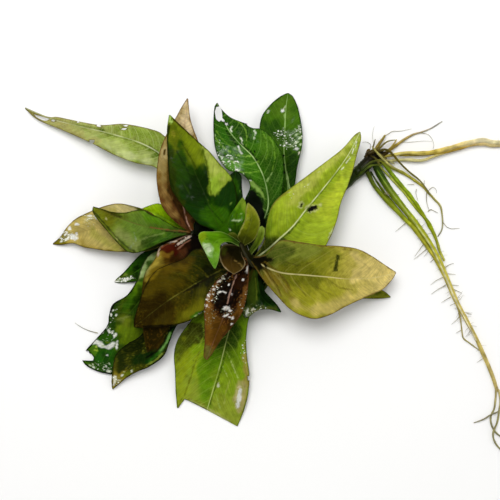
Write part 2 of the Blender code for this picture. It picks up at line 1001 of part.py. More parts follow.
def leaf_rows(
    shoot, steps, height, midrib, left, right, margin_lift=MARGIN_LIFT, arch=BLADE_ARCH, blunt=False
):
    """Rows of points across a leaf, from its base to its tip, in seen millimetres."""
    middle = [Vector(point) for point in midrib]
    joint, radius, direction = joint_on(shoot, height)
    away = middle[0] - joint
    away -= direction * away.dot(direction)
    start = joint + away.normalized() * (radius + GAP)
    beside = Vector((-away.y, away.x, 0)).normalized() * PETIOLE_HALF_WIDTH
    tip = middle[-1]
    forward = Vector((tip.x - middle[-2].x, tip.y - middle[-2].y, 0)).normalized()
    across = Vector((-forward.y, forward.x, 0)) * TIP_HALF_WIDTH
    edges = []
    for margin, side in ((left, 1), (right, -1)):
        points = [Vector((x, y, 0)) for x, y in margin]
        last = [] if blunt else [Vector((tip.x, tip.y, 0)) + across * side]
        whole = [Vector((start.x, start.y, 0)) + beside * side, *points, *last]
        edges.append(evenly_spaced(smooth_curve(whole), steps))
    spine = evenly_spaced(smooth_curve([start, *middle]), steps)
    rows = []
    for step, centre in enumerate(spine):
        bulge = max(0.0, math.sin(math.pi * step / steps)) ** BULGE_FULLNESS
        row = []
        for column in range(LEAF_ACROSS_STEPS + 1):
            share = 2 * column / LEAF_ACROSS_STEPS - 1
            side = 0 if share < 0 else 1
            edge = edges[side][step]
            margin = Vector((edge.x, edge.y, centre.z + margin_lift[side] * bulge))
            point = centre.lerp(margin, abs(share))
            point.z += arch * bulge * 4 * abs(share) * (1 - abs(share))
            point.z = max(point.z, LEAF_THICKNESS / 2 + TABLE_CLEARANCE)
            row.append(point)
        rows.append(row)
    return rows


def make_leaf(name, shoot, collection, colour, roughness, steps=LEAF_LENGTH_STEPS, **form):
    """A leaf: a grid laid between its midrib and its two margins, given its thickness by Solidify."""
    rows = leaf_rows(shoot, steps=steps, **form)
    base = place(*rows[0][LEAF_ACROSS_STEPS // 2])
    grid = bmesh.new()
    bmesh.ops.create_grid(grid, x_segments=steps, y_segments=LEAF_ACROSS_STEPS, size=0.5)
    for vertex in grid.verts:
        row = round((vertex.co.x + 0.5) * steps)
        column = round((0.5 - vertex.co.y) * LEAF_ACROSS_STEPS)
        vertex.co = place(*rows[row][column]) - base
    mesh = bpy.data.meshes.new(name)
    grid.to_mesh(mesh)
    grid.free()
    mesh.materials.append(make_material(name, colour, roughness))
    mesh.shade_smooth()
    leaf = bpy.data.objects.new(name, mesh)
    leaf.location = base
    collection.objects.link(leaf)
    solidify = leaf.modifiers.new("thickness", "SOLIDIFY")
    solidify.thickness = LEAF_THICKNESS * MM
    solidify.offset = 0.0
    return leaf


def build_hygrophila():
    clear_scene()
    collection = bpy.data.collections.new("hygrophila")
    bpy.context.scene.collection.children.link(collection)
    make_tube("stem", collection, "23300E", STEM, 0.45, STEM_SEGMENTS)
    make_tube("side_shoot", collection, "2E4412", SIDE_SHOOT, 0.4, SIDE_SHOOT_SEGMENTS)
    for name, form in ROOTS.items():
        make_tube(name, collection, **form)
    for shoot, leaves in ((SIDE_SHOOT, SIDE_SHOOT_LEAVES), (STEM, STEM_LEAVES)):
        for name, form in leaves.items():
            make_leaf(name, shoot, collection, **form)


build_hygrophila()
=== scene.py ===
"""A picked hygrophila lying on a pale table, seen from straight above.

Plan places are seen millimetres: where the eye, EYE_HEIGHT above the table, sees a point against it.
The paint on the leaves is laid on from that same eye, at places PIXEL millimetres apart, counted right
and down from the picture's top left corner.
"""

import math
import random

import bpy
import numpy as np
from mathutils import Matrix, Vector


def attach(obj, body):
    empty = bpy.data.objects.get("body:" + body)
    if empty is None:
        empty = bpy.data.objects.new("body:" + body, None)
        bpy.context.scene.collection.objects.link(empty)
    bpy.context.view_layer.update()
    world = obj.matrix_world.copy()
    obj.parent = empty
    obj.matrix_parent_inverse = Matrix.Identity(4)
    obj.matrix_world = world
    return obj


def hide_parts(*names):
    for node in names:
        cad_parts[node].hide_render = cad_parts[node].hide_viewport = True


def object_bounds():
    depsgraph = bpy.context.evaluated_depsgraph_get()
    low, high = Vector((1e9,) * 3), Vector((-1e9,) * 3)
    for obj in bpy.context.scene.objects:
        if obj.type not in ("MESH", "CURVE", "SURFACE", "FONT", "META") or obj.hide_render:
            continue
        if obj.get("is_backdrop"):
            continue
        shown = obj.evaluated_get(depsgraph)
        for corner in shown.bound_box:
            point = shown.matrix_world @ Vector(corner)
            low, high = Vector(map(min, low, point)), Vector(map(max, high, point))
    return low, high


MM = 0.001
PIXEL = 0.4
PICTURE_HALF = 100.0

# The point straight below the eye.
CENTRE_X = -8.0
CENTRE_Y = 9.65
EYE_HEIGHT = 620.0

PETIOLE_HALF_WIDTH = 0.9
TIP_HALF_WIDTH = 0.25
MARGIN_LIFT = (0.8, 0.8)
STALK_DEPTH = 0.6
BULGE_FULLNESS = 0.8
BLADE_ARCH = 0.5
TABLE_CLEARANCE = 0.02
CURVE_STEPS_PER_SPAN = 8

# The axis of each shoot: seen plan places, height and radius, in millimetres.
STEM = [
    (52.3, 38.9, 3, 2.4), (49.8, 36.7, 3.6, 3.1), (46.5, 33.8, 3.2, 2.7), (42.6, 30.6, 2.7, 2.4),
    (31.5, 20.9, 3.6, 2.6), (20, 10.4, 5, 2.8), (10, 1.6, 7.4, 2.8), (3, -4.4, 11, 2.6),
    (-0.6, -3, 18, 2), (-2.8, 0.6, 25, 1.5), (-3.6, 2.2, 28.5, 0.9),
]
SIDE_SHOOT = [
    (-2, -4.4, 8.5, 1.8), (-8, -2.6, 7, 1.9), (-15, 2, 6.5, 1.9), (-20.6, 5.4, 8, 1.8),
    (-22.8, 6.8, 12, 1.5), (-22.8, 7, 17, 1),
]

# In all the tables below, the places along a line are one text: "x,y x,y" and so on, in order. Colours
# that change along a length are "share:colour share:colour", with the share going from 0 to 1.
#
# The leaves on each shoot: the height where a leaf joins it, then seen places along its midrib with their
# heights, and along its left and right margins, all in millimetres.
SIDE_SHOOT_LEAVES = {
    "leaf_left_dark": dict(
        height=9.6,
        midrib="-27.6,6,6 -31,2.6,4.4 -37,-2.6,3.2 -44,-7.6,2.2 -49.2,-10.8,1.2 -54.2,-12.8,0.3",
        left="-27,4.8 -29.4,-1 -34,-8 -40,-11.2 -45.6,-12.6 -51.2,-13.2",
        right="-28.6,7 -32.4,5.2 -38,1.6 -43.6,-1.6 -47.2,-5.2 -50.4,-8.8 -53.2,-11.4",
    ),
    "leaf_lower_dark": dict(
        height=8.2, margin_lift=(0, 0.6),
        midrib=(
            "-28.8,-0.8,6.8 -34,-8,5.2 -40,-15.6,3.8 -47.2,-24,2.6 -54,-31.6,1.8 -60.8,-38.4,1 "
            "-67.6,-43.2,0.3"
        ),
        left=(
            "-25.6,-4.8 -29.6,-16 -34,-27.2 -40,-38 -47.2,-46.4 -52.8,-49.6 -58.8,-49.2 -63.2,-47.6 "
            "-66,-45.8"
        ),
        right=(
            "-32,1.6 -40,-1.6 -43.6,-7.2 -45.2,-12 -49.2,-18 -54.8,-21.6 -56.4,-26 -57.2,-30.4 "
            "-62.4,-36.4 -65.6,-40"
        ),
    ),
    "leaf_lower_mottled": dict(
        height=7.2,
        midrib=(
            "-17.4,-2.6,8.2 -21.2,-8,8.8 -24.8,-14,8.8 -30.8,-24,8 -37.2,-33.2,6.8 -43.6,-41.2,5.2 "
            "-49.6,-48.8,3.2 -55,-55.6,1"
        ),
        left=(
            "-16.8,-4.4 -17.2,-10 -20.8,-18.8 -25.6,-26 -29.6,-30.8 -32,-36.4 -34.5,-42.4 -40,-46.6 "
            "-45.2,-48.8 -49.6,-51.4 -53.2,-54.4"
        ),
        right=(
            "-20.6,-2.6 -26,-6.4 -31.2,-12 -36.8,-21.2 -40,-28.8 -44,-34.4 -49.2,-37.6 -53.2,-41.2 "
            "-54.8,-46 -55.4,-52"
        ),
    ),
    "leaf_left_sliver": dict(
        height=10.2,
        midrib="-28,8.8,8.3 -34,12.4,7.7 -40,15.2,7.4 -44.8,15.6,7.2",
        left="-28.8,6.4 -36,8.8 -42,12.4",
        right="-29.6,13.2 -32,16.8 -36.8,18.6 -40.8,17.6",
    ),
    "leaf_left_long": dict(
        height=11,
        midrib=(
            "-24,16,10.5 -26.8,27.2,10 -34,36.8,9 -42.8,42.4,8 -55.2,46.4,6.5 -68.4,49.6,4.5 "
            "-79.2,52.4,2.5 -90,56.8,0.28"
        ),
        left="-26.4,15.2 -31,26 -37.6,32.8 -46,34.8 -55.2,38.4 -63.6,42.8 -74.4,47.6 -84.8,52",
        right=(
            "-21.6,17.2 -23,29 -28,40 -34.2,45.6 -38.4,48 -50,50.4 -59.6,50 -69.2,51.6 -76.8,53.2 "
            "-81.2,53.4"
        ),
    ),
    "leaf_left_yellow": dict(
        height=12.4,
        midrib="-34,5.6,10.5 -46,7.6,8.6 -56.8,8.8,6.4 -66,7.6,4.2 -72.8,5.2,2.4 -78.8,2.4,0.3",
        left="-32,2.8 -40.8,-0.4 -50.8,-0.8 -57.6,-0.4 -62.4,0.4 -66.4,1 -70.8,2.6 -75.2,2",
        right="-32.8,9.6 -40,15.2 -47.6,17.8 -53.2,18.6 -58.8,17.4 -64.4,15.2 -69.6,12.6 -73.2,9.2 -76,5.2",
    ),
    "leaf_purple_fold": dict(
        height=14.8,
        midrib=(
            "-26.4,3.6,15 -29.2,0,14.6 -30.4,-6,14 -32.8,-12,13.2 -35.6,-20,12 -38.4,-30,10 -41,-40.8,8.4"
        ),
        # The left margin reaches out near the base into the deep gap by its joint, painted nearly black as
        # shade.
        left=(
            "-20.4,5.4 -18.6,1.6 -20.4,-4.6 -23.2,-12 -25.2,-20 -28.8,-26.8 -32.8,-31.2 -36.8,-36.8 "
            "-39.6,-39.8"
        ),
        right="-28.6,4.6 -32.8,3 -36.4,0.8 -38.4,-4 -42,-9.2 -43.2,-16 -43.2,-23.2 -42.8,-32 -41.8,-38",
    ),
    "leaf_left_olive": dict(
        height=16,
        midrib="-30,7.6,15.4 -36,8.4,14.6 -42,9.4,13.8 -50,12,12.4 -56.8,14.8,10.8 -62.8,17.2,9",
        left="-28.8,5.2 -36,2.6 -40.8,0.4 -45.2,-1.2 -49.2,-0.6 -52.8,2.6 -57.2,7.6 -61.2,12.4 -63,15.4",
        right="-28.8,8.8 -36,12.8 -40,14.6 -42.8,16 -46.4,15.8 -50,15 -54.8,15.2 -59.6,16.6",
    ),
    "leaf_top_tan": dict(
        height=16.8,
        midrib="-25.6,11.2,16.8 -26.8,18.8,16.4 -27.2,30,15.6 -26.8,44,13.4 -25.6,54,11 -25,60.6,9",
        left="-27.6,9.4 -32,13.2 -35.6,18.4 -37.4,28 -36.8,36 -35.6,41.2 -32.8,47.6 -29.8,52.8 -27.6,56.8",
        right="-22.4,10.8 -18.4,14.8 -15.8,22.8 -16,28 -18,37.2 -21.2,44.8 -23.8,52.4",
    ),
}
STEM_LEAVES = {
    "leaf_upper_round": dict(
        height=6.4,
        midrib=(
            "11.6,10.4,5.8 14.2,16.4,5.4 15.2,24,5.2 14.4,31.2,5 13.6,40,4.4 14,49.2,3.2 14.4,56.8,1.8 "
            "15.2,62.8,0.3"
        ),
        left="10.8,12 10,23.2 7.2,32 4.8,40.8 3.8,48 4.8,53.6 8,58 12,61.4",
        right="13.4,12 17.6,24.8 19,33.6 20.8,41.2 21,46.8 20.2,52.4 19,57.6 17.2,61.4",
    ),
    "leaf_bottom_green": dict(
        height=8, blunt=True,
        midrib=(
            "10,-6.2,7.2 4.6,-14.2,7.8 -5.6,-24.8,7.4 -8.8,-34,6.2 -11.6,-44.8,4.2 -14,-53.2,2.2 "
            "-17.2,-64,0.3"
        ),
        left="10.4,-8.6 5.4,-17 0.2,-25.6 -1.4,-34 -1.2,-42 -0.2,-50 -0.6,-56.8 -2.2,-63.6 -5,-70.6",
        right=(
            "7.4,-7.2 0,-11.6 -10.6,-16 -18.8,-22.8 -24.4,-29.2 -28.8,-35.6 -30.4,-41.6 -30,-48.8 "
            "-29.8,-56 -29.2,-63.2"
        ),
    ),
    "leaf_right_hidden": dict(
        height=10.4,
        midrib="12,-8,9 24,-13.2,7 38,-16,4.6 48,-18,2.6 56.2,-18.8,1.2",
        left="14,-5.6 26,-8 38,-10.4 48,-13.6 53.6,-16.4",
        right="12,-11.2 27.2,-18.4 38,-19.6 44.8,-19.5 51.2,-19.5",
    ),
    "leaf_upper_glossy": dict(
        height=11.4,
        midrib=(
            "1.4,2.4,11.2 4.4,9.4,10.8 7.2,17.2,10.4 6.8,24,10 4.8,30.8,9.6 1.2,37.2,9.2 -3.6,42,8.6 "
            "-8,47.2,7.4 -11.2,53.2,5.8 -13.2,58.8,4.4"
        ),
        # The left margin runs wide near the base, where the blade is painted nearly black as shade.
        left=(
            "-1.6,3.4 -2.6,11 -2.4,19 0,25.6 -3.2,30.4 -8.4,31.8 -12,35.6 -14,40.8 -14.6,47.2 -14.6,53.2 "
            "-14.2,57.2"
        ),
        right="3.6,1.8 8.4,9.6 12.4,21.2 13.6,29.6 12.6,38.8 8,46 2.8,49.2 -2.8,51 -8,53.2 -11.6,56.6",
    ),
    "leaf_under_dark": dict(
        height=12.4,
        midrib="2.8,-10,11.8 3.6,-16,11 6.4,-20.8,10 12.4,-24.8,8.6",
        left="4.6,-7 5.2,-12.4 6,-16.4 8.2,-19 10.8,-21.8",
        right="-0.6,-6.6 -2,-11.6 -3,-18 -3.2,-24.4 -1.2,-27.2 2.8,-24.4 7.6,-23.8",
    ),
    "leaf_right_lime": dict(
        height=14,
        midrib=(
            "7.2,0.4,14 11.6,4.4,13.8 17.2,9.6,13.4 23.2,17.2,12.8 28.8,24,12.2 34.8,31.6,11.4 "
            "40,39.2,10.2 44,47.2,8.6"
        ),
        left="5.4,3 6.4,9.6 8,16 10.4,20 15.2,24 20.8,28.2 26.4,32.4 32,36.6 37.2,40.8 41.6,45.8",
        right="11,-3 20,-4.8 28,-1.2 32,4.8 34.8,12 36.4,18.8 38.8,24.8 41.2,32 42.8,38 44.4,44",
    ),
    "leaf_brown_broad": dict(
        height=17.4,
        midrib=(
            "-8.8,-6.8,17.6 -14,-9.2,17.6 -20,-12.4,17.2 -26.8,-16.4,16.6 -33.6,-20.8,15.4 -40.4,-26,13.8 "
            "-46.4,-30.8,12"
        ),
        left="-8.8,-11.2 -12.8,-18 -18,-24 -23.6,-28 -29.6,-30 -36,-30.8 -42,-31.2",
        right="-11,-2.6 -16,0.2 -22,0.4 -27,-3.6 -36.8,-7.6 -41.6,-13.6 -44.4,-21.2 -46.2,-27.2",
    ),
    "leaf_right_olive": dict(
        height=17.6,
        midrib="7.2,-7.2,17.2 13.2,-9.2,16.8 22,-10,16 31.2,-10.8,15 40,-11.6,13.4 50,-11,10.6 58.4,-9,7.6",
        left="6.4,-1.6 12,3.8 20,3.2 28,2 36,1.6 43.2,0.4 48.8,-2.4 54.4,-6.2",
        right=(
            "5.6,-12.4 10.8,-18.4 15.6,-23.4 20.4,-26.2 26,-27.6 32,-26 38,-22.8 44.8,-19.6 52.8,-16 "
            "56.8,-12"
        ),
    ),
    "bud_pale": dict(
        height=19.2,
        midrib="3.4,4,19.6 4.8,9.6,18.8",
        left="1.9,4 3.2,8.4",
        right="5,3.6 6,8",
    ),
    "leaf_inner_dark": dict(
        height=20,
        midrib="-4.8,10,20 -6.4,18,19.6 -6.4,25.2,18.8 -5.6,31.8,17.6",
        # The left margin reaches out below leaf_top_broad into the deep gap there, painted nearly black as
        # shade.
        left="-9,5 -20.4,5.4 -22.4,9.4 -20.6,14 -15.4,20 -11.2,25.2 -8.4,29.6",
        right="-2.8,10 -2.6,18 -3.2,24.8 -3.4,29.6",
    ),
    "leaf_red_wet": dict(
        height=21,
        midrib="-4,-6,21.4 -6,-11.2,21 -8,-18,20.4 -10.4,-26,19 -14,-35.2,16.8 -17.4,-44,14.6",
        left="-0.4,-7.6 -0.6,-12.8 -1.4,-19.2 -3.2,-25.2 -7.2,-30.8 -11.6,-36 -15.4,-42",
        right="-8.8,-8.4 -13.2,-12 -17.2,-18 -18.4,-23.2 -18.2,-30 -18.2,-37.2 -18.6,-42.4",
    ),
    "leaf_top_broad": dict(
        height=23,
        midrib=(
            "-8.8,4.8,24 -12.4,8.8,24.4 -15.2,15.2,24.4 -18,22,24 -21.2,29.2,23 -24,36,21.6 -28,45.2,19 "
            "-32.2,54,15.4"
        ),
        left="-10.4,3.6 -14.8,8 -20,10.2 -24,14 -29.6,21.2 -32,26 -32.8,34 -33.2,42 -33.2,48.8",
        right=(
            "-7.2,6.6 -6.4,10.8 -5.6,15.8 -5.2,20.8 -6,25.6 -8,30 -12,34.4 -16,39.2 -20,42.8 -25.2,47.6 "
            "-29.6,51.8"
        ),
    ),
    "leaf_young_cupped": dict(
        height=25.4, margin_lift=(2.6, 3.2), arch=-0.3,
        midrib="-5.6,0,24.8 -7.6,-4,24.6 -6.4,-9.6,26.6",
        left="-3,-2.6 -1.8,-5.2 -3.2,-7.8",
        right="-8.8,2.4 -11.6,1.2 -12.4,-2.4 -10.4,-7",
    ),
    "leaf_young_upright": dict(
        height=25.8,
        midrib="-5.2,8,26.8 -4.8,14,26.8 -3.6,18,26.2 -2.8,21,25.4",
        left="-8.6,8.4 -8.4,12.8 -6.4,16.4 -4.2,19.6",
        right="-3.4,8.4 -2,12.4 -1.4,15.6 -1.6,18.8",
    ),
    "leaf_young_arched": dict(
        height=27.4,
        midrib="-1.6,5.6,29.4 -0.4,8.8,30.4 0.8,13.6,30.4 -0.8,18.8,28.6",
        left="-5,5.2 -4,8 -2,12.4 -1.8,16.4",
        right="1.4,3.8 3.4,7.6 4,11.6 2.2,16",
    ),
    "bud_scale": dict(
        height=27,
        midrib="-6.4,4.8,27.6 -9.4,5.6,27.4",
        left="-6,3.6 -8.4,4.2",
        right="-5.6,6.6 -8,7",
    ),
    "leaf_small_bright": dict(
        height=28.4,
        midrib="-8,4.4,31 -12.8,4,31.5 -15.2,0.8,31.5 -14.8,-3.6,30.8 -14,-7.4,30",
        left="-8.4,3.2 -11.6,2.2 -12,-0.8 -12.6,-4.4",
        right="-8,5.8 -11.6,7.4 -15.6,7.4 -19.6,7.2 -20.6,4.8 -18,-0.8 -16,-4.8",
    ),
}

# How each leaf is painted, in picture places. along: colours from base to tip. rim: colour, width in
# millimetres, strength. rib and veins: colour, strength. flecks: colour, strength, size. patches: colour,
# strength, softness, corners. strokes: colour, half width, strength, places. spots: x, y, two radii, turn
# in degrees, colour, strength. holes: corners, or x, y, two radii, turn. wet: x, y, two radii, turn,
# strength. sparkle: x, y, two radii, turn, share of it that glints.
# Besides each leaf's own colours, some patches, strokes and spots are painted light and shade. Near-white
# ones are painted glints and reflections on the wet blades. Near-black ones are painted shade in the deep
# middle of the rosette and under overlapping leaves. For the same reason, many leaf bases there start
# nearly black in along, and that is painted shade too.
LOOKS = {
    "leaf_left_long": dict(
        along="0:3E5A14 0.25:7A9634 0.5:9EB250 0.75:B2B668 0.9:B4AC60 1:5E5A28",
        rim=("8A7A3E", 0.5, 0.6), rib=("D6DCAC", 0.85), veins=("C8D488", 0.5), flecks=("8A7E3E", 0.3, 3.4),
        patches=[
            ("4E6E1E", 0.75, 4, "148,147 156,152 162,158 160,164 153,161 146,152"),
            ("BCC872", 0.75, 6, "84,133 100,135 122,142 148,153 158,158 156,165 130,159 104,146"),
            ("DCE4A4", 0.6, 5, "108,145 134,154 157,162 155,167 128,161 106,150"),
            ("B4A862", 0.6, 6, "60,128 78,133 100,142 92,145 66,133"),
            ("84A032", 0.6, 6, "108,127 130,127 152,132 162,140 150,140 128,134"),
            ("7E9A2E", 0.5, 4, "82,128 104,134 122,140 112,141 90,133"),
        ],
        strokes=[
            ("5E7424", 0.7, 0.7, "100,131.4 112,135.6 130,140 143,145.6 152,150"),
            ("6E8A2A", 0.7, 0.5, "76,124.6 90,127 104,129.6"),
            ("2E4416", 1.2, 0.6, "150,146 156,151 160,156"),
        ],
        spots=[(102.4, 129.8, 2.6, 1.4, 10, "3A4A18", 0.9), (58, 123, 10, 3, 15, "B4A866", 0.5)],
        holes=[
            "34,114.2 40,115.9 47,118.2 50,119 47,120.6 43.6,120.6 40,119 36,116.8",
            (53.4, 120.6, 1.7, 0.9, 5), (78, 122, 1.4, 0.6, 0), (99, 126, 2.4, 0.9, 15),
            (125.6, 125.8, 2, 0.7, 0), (124, 129, 2.8, 0.9, -5),
            "89.6,140 94.6,140 94.2,142 92,143.6 89.4,141.4",
        ],
    ),
    "leaf_top_tan": dict(
        along="0:1E0E06 0.12:4A2814 0.3:70482A 0.45:94703A 0.65:AA9050 1:D2BE8A",
        rim=("6E4A22", 0.45, 0.6), rib=("A87A62", 0.35), veins=("8A6A34", 0.2), flecks=("5E3A18", 0.45, 2.2),
        patches=[
            ("BCA866", 0.7, 6, "160,144 166,140 168,160 166,190 159,192 158,165"),
            ("A8864E", 0.7, 6, "159,188 166,188 172,206 178,218 170,216 162,204"),
            ("EAD6AA", 0.85, 6, "186,100 190,120 196,137 188,132 182,116"),
            # painted shadow: a dark band along the edge of leaf_top_broad, which lies over this blade
            ("3A2408", 0.9, 3, "170,176 174,190 182,206 194,222 186,222 176,206 168,190"),
            ("6A3E26", 0.8, 4, "180,210 188,214 194,226 190,231 182,226"),
        ],
        strokes=[
            ("C49A86", 0.5, 0.9, "192,231 187.6,223 184.6,212 183,203"),
            ("2A1406", 0.7, 0.8, "190.4,231 185.6,223 182.6,212"),
            # painted shadow along the edge of leaf_top_broad
            ("2E1808", 0.6, 0.7, "168,190 176,206 184,220"),
            ("6A4626", 0.5, 0.6, "160,190 165,202 172,214 180,224"),
            ("9A8044", 0.4, 0.5, "183,105 181,114 179,120"),
        ],
        spots=[
            (164.4, 152.5, 3.4, 6.5, 10, "D0BE80", 0.7), (164.6, 152.5, 1.2, 3.6, 8, "4A340C", 0.95),
            # The long thin dark spot at 168.6, 166 is painted shadow along the edge of leaf_top_broad.
            (168.6, 166, 1.2, 28, 2, "4A380C", 0.8), (185.6, 99.8, 1.2, 0.9, 0, "8A6E46", 0.9),
            (166, 135, 2.4, 4, 20, "8A8038", 0.6),
        ],
    ),
    "leaf_top_broad": dict(
        along="0:2A5406 0.25:123A02 0.5:123602 0.78:2E4E04 0.9:4E5E0E 1:5E6A18",
        rim=("262A06", 0.4, 0.5), rib=("3A4E12", 0.3), veins=("3E5214", 0.14),
        patches=[
            ("78881A", 0.9, 8, "174,122 186,130 201,146 205,158 202,167 191,162 181,148"),
            ("84961A", 0.7, 7, "184,134 199,146 204,160 200,162 188,147"),
            ("6C7814", 0.8, 5, "171,124 178,134 180,150 174,156 169,140"),
            # painted shade: darker where other leaves lie under this thin blade
            ("102604", 0.8, 12, "184,168 206,178 208,200 198,210 184,200"),
            ("2E3A04", 0.8, 4, "168,150 172,150 176,185 186,208 182,208 170,188"),
            # painted light: the single layer, lit through from the pale table below it
            (
                "96AC3E", 1, 1.8,
                "200,143 211,153 221,164 234,177 226,183 220,190 215,195.5 210.6,195 209.4,182 207.4,169 "
                "204.6,156",
            ),
            ("B2BE58", 0.85, 5, "203,147 213,157 226,170 224,180 214,178 206,158"),
            ("9CC03A", 0.6, 6, "211,180 221,176 217,190 211.6,192"),
            ("3A6C08", 0.8, 8, "203,212 214,204 236,210 230,232 206,230"),
            ("3E720A", 0.6, 6, "214,220 230,216 232,228 220,231"),
        ],
        strokes=[
            ("3E3206", 0.7, 0.9, "173.4,119 180,125.6 190,134.6 198,142"),
            ("4E600C", 0.7, 0.8, "200.6,143.4 205,157 208,170 210,182 210.8,194"),
            ("141E04", 0.9, 0.8, "169,126 167.6,140 168.6,160 169,176 176,196"),
            # These two dark strokes are painted shade along the edge of leaf_top_tan, which lies under the
            # blade.
            ("0E2206", 0.7, 0.6, "176,150 186,168 196,186 206,204 222,222"),
            ("0E2206", 0.6, 0.5, "181,142 192,160 200,176"),
            ("44640E", 0.5, 0.5, "208,200 218,212 226,222"),
            ("2E4A0C", 0.5, 0.6, "172,160 180,178 190,194"),
        ],
        spots=[
            (170, 119.4, 2.4, 4.4, 0, "AECB66", 1), (171.6, 119, 0.9, 1.4, 0, "5E7A1E", 0.9),
            (173.5, 134, 2, 3.4, -20, "8A8A2E", 0.7), (231, 203.4, 1.8, 1.1, -30, "7AA046", 0.9),
        ],
        wet=[(190, 175, 20, 40, -30, 0.25)],
    ),
    "leaf_inner_dark": dict(
        along="0:060A04 0.4:1A3A06 0.75:1E4406 1:16300A",
        rim=("081404", 0.5, 0.7), rib=("3A6A1A", 0.3), veins=("35601A", 0.25),
        patches=[
            # painted shade: nearly black where this leaf fills the deep gap below leaf_top_broad
            ("060904", 0.98, 3, "186,214 202,223 214,229 236,231 240,246 186,246"),
            ("306004", 0.7, 6, "226,178 236,178 240,196 232,204 224,196"),
            # painted shade: near-black strips where the leaves above shade this one
            ("0C2204", 0.8, 3, "238,174 244,174 244,196 240,206"),
            ("0E2806", 0.8, 3, "226,172 240,170 242,176 228,178"),
        ],
        spots=[(240, 191, 1, 0.8, 0, "6E9A3E", 0.8), (234, 203, 1.4, 1, 0, "5E8A2E", 0.7)],
    ),
    "leaf_left_olive": dict(
        along="0:2A1A0E 0.14:44481C 0.3:4E741E 0.5:6C8C34 0.75:72822A 1:726E1C",
        rim=("2E3206", 0.45, 0.8), rib=("6E5A2E", 0.45), veins=("7A9048", 0.2), flecks=("46622A", 0.4, 3),
        patches=[
            ("747818", 0.9, 6, "92,206 112,208 126,216 112,226 104,222"),
            ("62620F", 0.8, 5, "104,209 120,211 128,217 118,219 106,215"),
            ("56680F", 0.7, 3, "105,224 112,231 126,246 134,252 120,244"),
            # painted sheen: the soft grey gloss on the wet middle of the blade
            ("A2A468", 0.5, 13, "114,232 126,230 140,238 144,248 137,254 126,247"),
            ("668436", 0.6, 10, "118,218 140,218 160,226 146,234 126,230"),
            ("5A8E10", 0.85, 6, "142,213 158,215 176,226 160,224 148,220"),
            ("2E5E14", 0.8, 5, "146,246 160,238 184,233 180,240 160,247 146,252"),
            ("26400E", 0.8, 5, "138,240 152,232 162,236 150,249 141,250"),
            ("2E5A10", 0.6, 5, "150,228 176,230 184,234 160,236"),
        ],
        strokes=[
            ("B8BA6A", 0.6, 0.8, "110,230 116,238 120,244"),
            ("8A5A3A", 0.5, 0.9, "192,232 176,230.6 160,228.6 150,227.4"),
            ("2A1408", 0.6, 0.8, "192,233.6 176,232.2 162,230.6"),
            ("1E2A06", 0.8, 0.8, "94,212 104,223 115,236 126,246 137,253"),
            ("8AA05A", 0.5, 0.5, "140,240 152,236 164,233"),
            ("9AA884", 0.5, 0.5, "130,248 136,240 134,232"),
            ("123A08", 0.6, 0.7, "160,240 172,236 188,235"),
            ("4E7A2A", 0.5, 0.6, "152,243 164,238 176,236"),
        ],
        spots=[
            (94, 208.5, 2.6, 2.2, 0, "6A781A", 0.9), (93.4, 208, 1, 0.8, 0, "B4B060", 0.7),
            (106, 218.5, 1.2, 1.2, 0, "C2BC7E", 0.9), (116, 215, 7, 1.6, 20, "3A3E0C", 0.7),
        ],
        wet=[(128, 242, 12, 8, 20, 0.2)],
    ),
    "leaf_left_yellow": dict(
        along="0:0E1A06 0.3:16300A 0.4:3E5214 0.44:BEB65A 0.65:CEBC6C 0.85:C8B25C 1:7A7014",
        rim=("6A5A20", 0.45, 0.8), rib=("8E7E38", 0.3), veins=("9A9048", 0.25),
        patches=[
            # pale tan, and painted lighter there against the shadow of the tip of leaf_left_olive
            ("DCCC8C", 0.85, 6, "104,206 118,204 134,207 142,212 120,210"),
            ("C6B468", 0.7, 8, "78,222 96,218 106,230 112,246 88,240 76,232"),
            ("B2B04E", 0.6, 6, "92,228 104,234 118,246 110,250 94,240"),
            ("E4E2CC", 0.95, 2.4, "103,251.6 120,252.4 137,255 136.6,258.4 120,255.6"),
            ("8A8014", 0.9, 3, "53,243 62,238.6 70,242 64,245 54,245"),
            ("B49A46", 0.6, 4, "76,240 94,245 112,250 96,250 78,245"),
        ],
        spots=[
            # The FAFAF6 spots are painted reflections of the light on the wet tip.
            (88, 219, 5, 2, -25, "E6DFA8", 0.6), (73, 236.8, 4, 3.2, 10, "FAFAF6", 1),
            (76.6, 234, 1.3, 1.8, 0, "FAFAF6", 1), (66.6, 239.4, 2.6, 1.2, -25, "FAFAF6", 1),
            (61.4, 241.4, 1.8, 0.8, -30, "FAFAF6", 1), (69.8, 228.4, 1.6, 1.9, -30, "FAFAF6", 1),
            (77, 224.2, 2.3, 1.5, 10, "FAFAF6", 1), (66, 234, 2.6, 0.9, -50, "FAFAF6", 1),
            (89.6, 215.8, 2.2, 0.9, -10, "FAFAF6", 1), (95.4, 217.6, 2.6, 0.8, 45, "FAFAF6", 1),
        ],
        sparkle=[(66, 236, 9, 4, -38, 0.4), (92, 217, 8, 2, 15, 0.35), (90, 222, 4, 5, -50, 0.2)],
        wet=[(70, 234, 14, 8, -35, 0.5)],
    ),
    "leaf_left_sliver": dict(
        along="0:4E8206 0.5:A4D404 1:BED63C",
        rim=("5A7A0A", 0.4, 0.5), rib=("8EB03A", 0.4), veins=("8AAE2A", 0.2),
        patches=[("B0DC0C", 0.85, 5, "142,208 158,205 164,208 158,214 146,211")],
        spots=[(160, 218, 7, 3, 20, "4A7A0C", 0.7)],
    ),
    "leaf_left_dark": dict(
        along="0:081C04 0.5:123406 0.75:2A5A0A 1:5E6E24",
        rim=("0E2006", 0.4, 0.7), rib=("4E7E1E", 0.4), veins=("3E6E1A", 0.3),
        patches=[
            ("3E7A12", 0.8, 3, "122,272 130,265 136,262 132,270 124,275"),
            ("86A040", 0.8, 2.4, "116,278 121,274 126,275 120,279"),
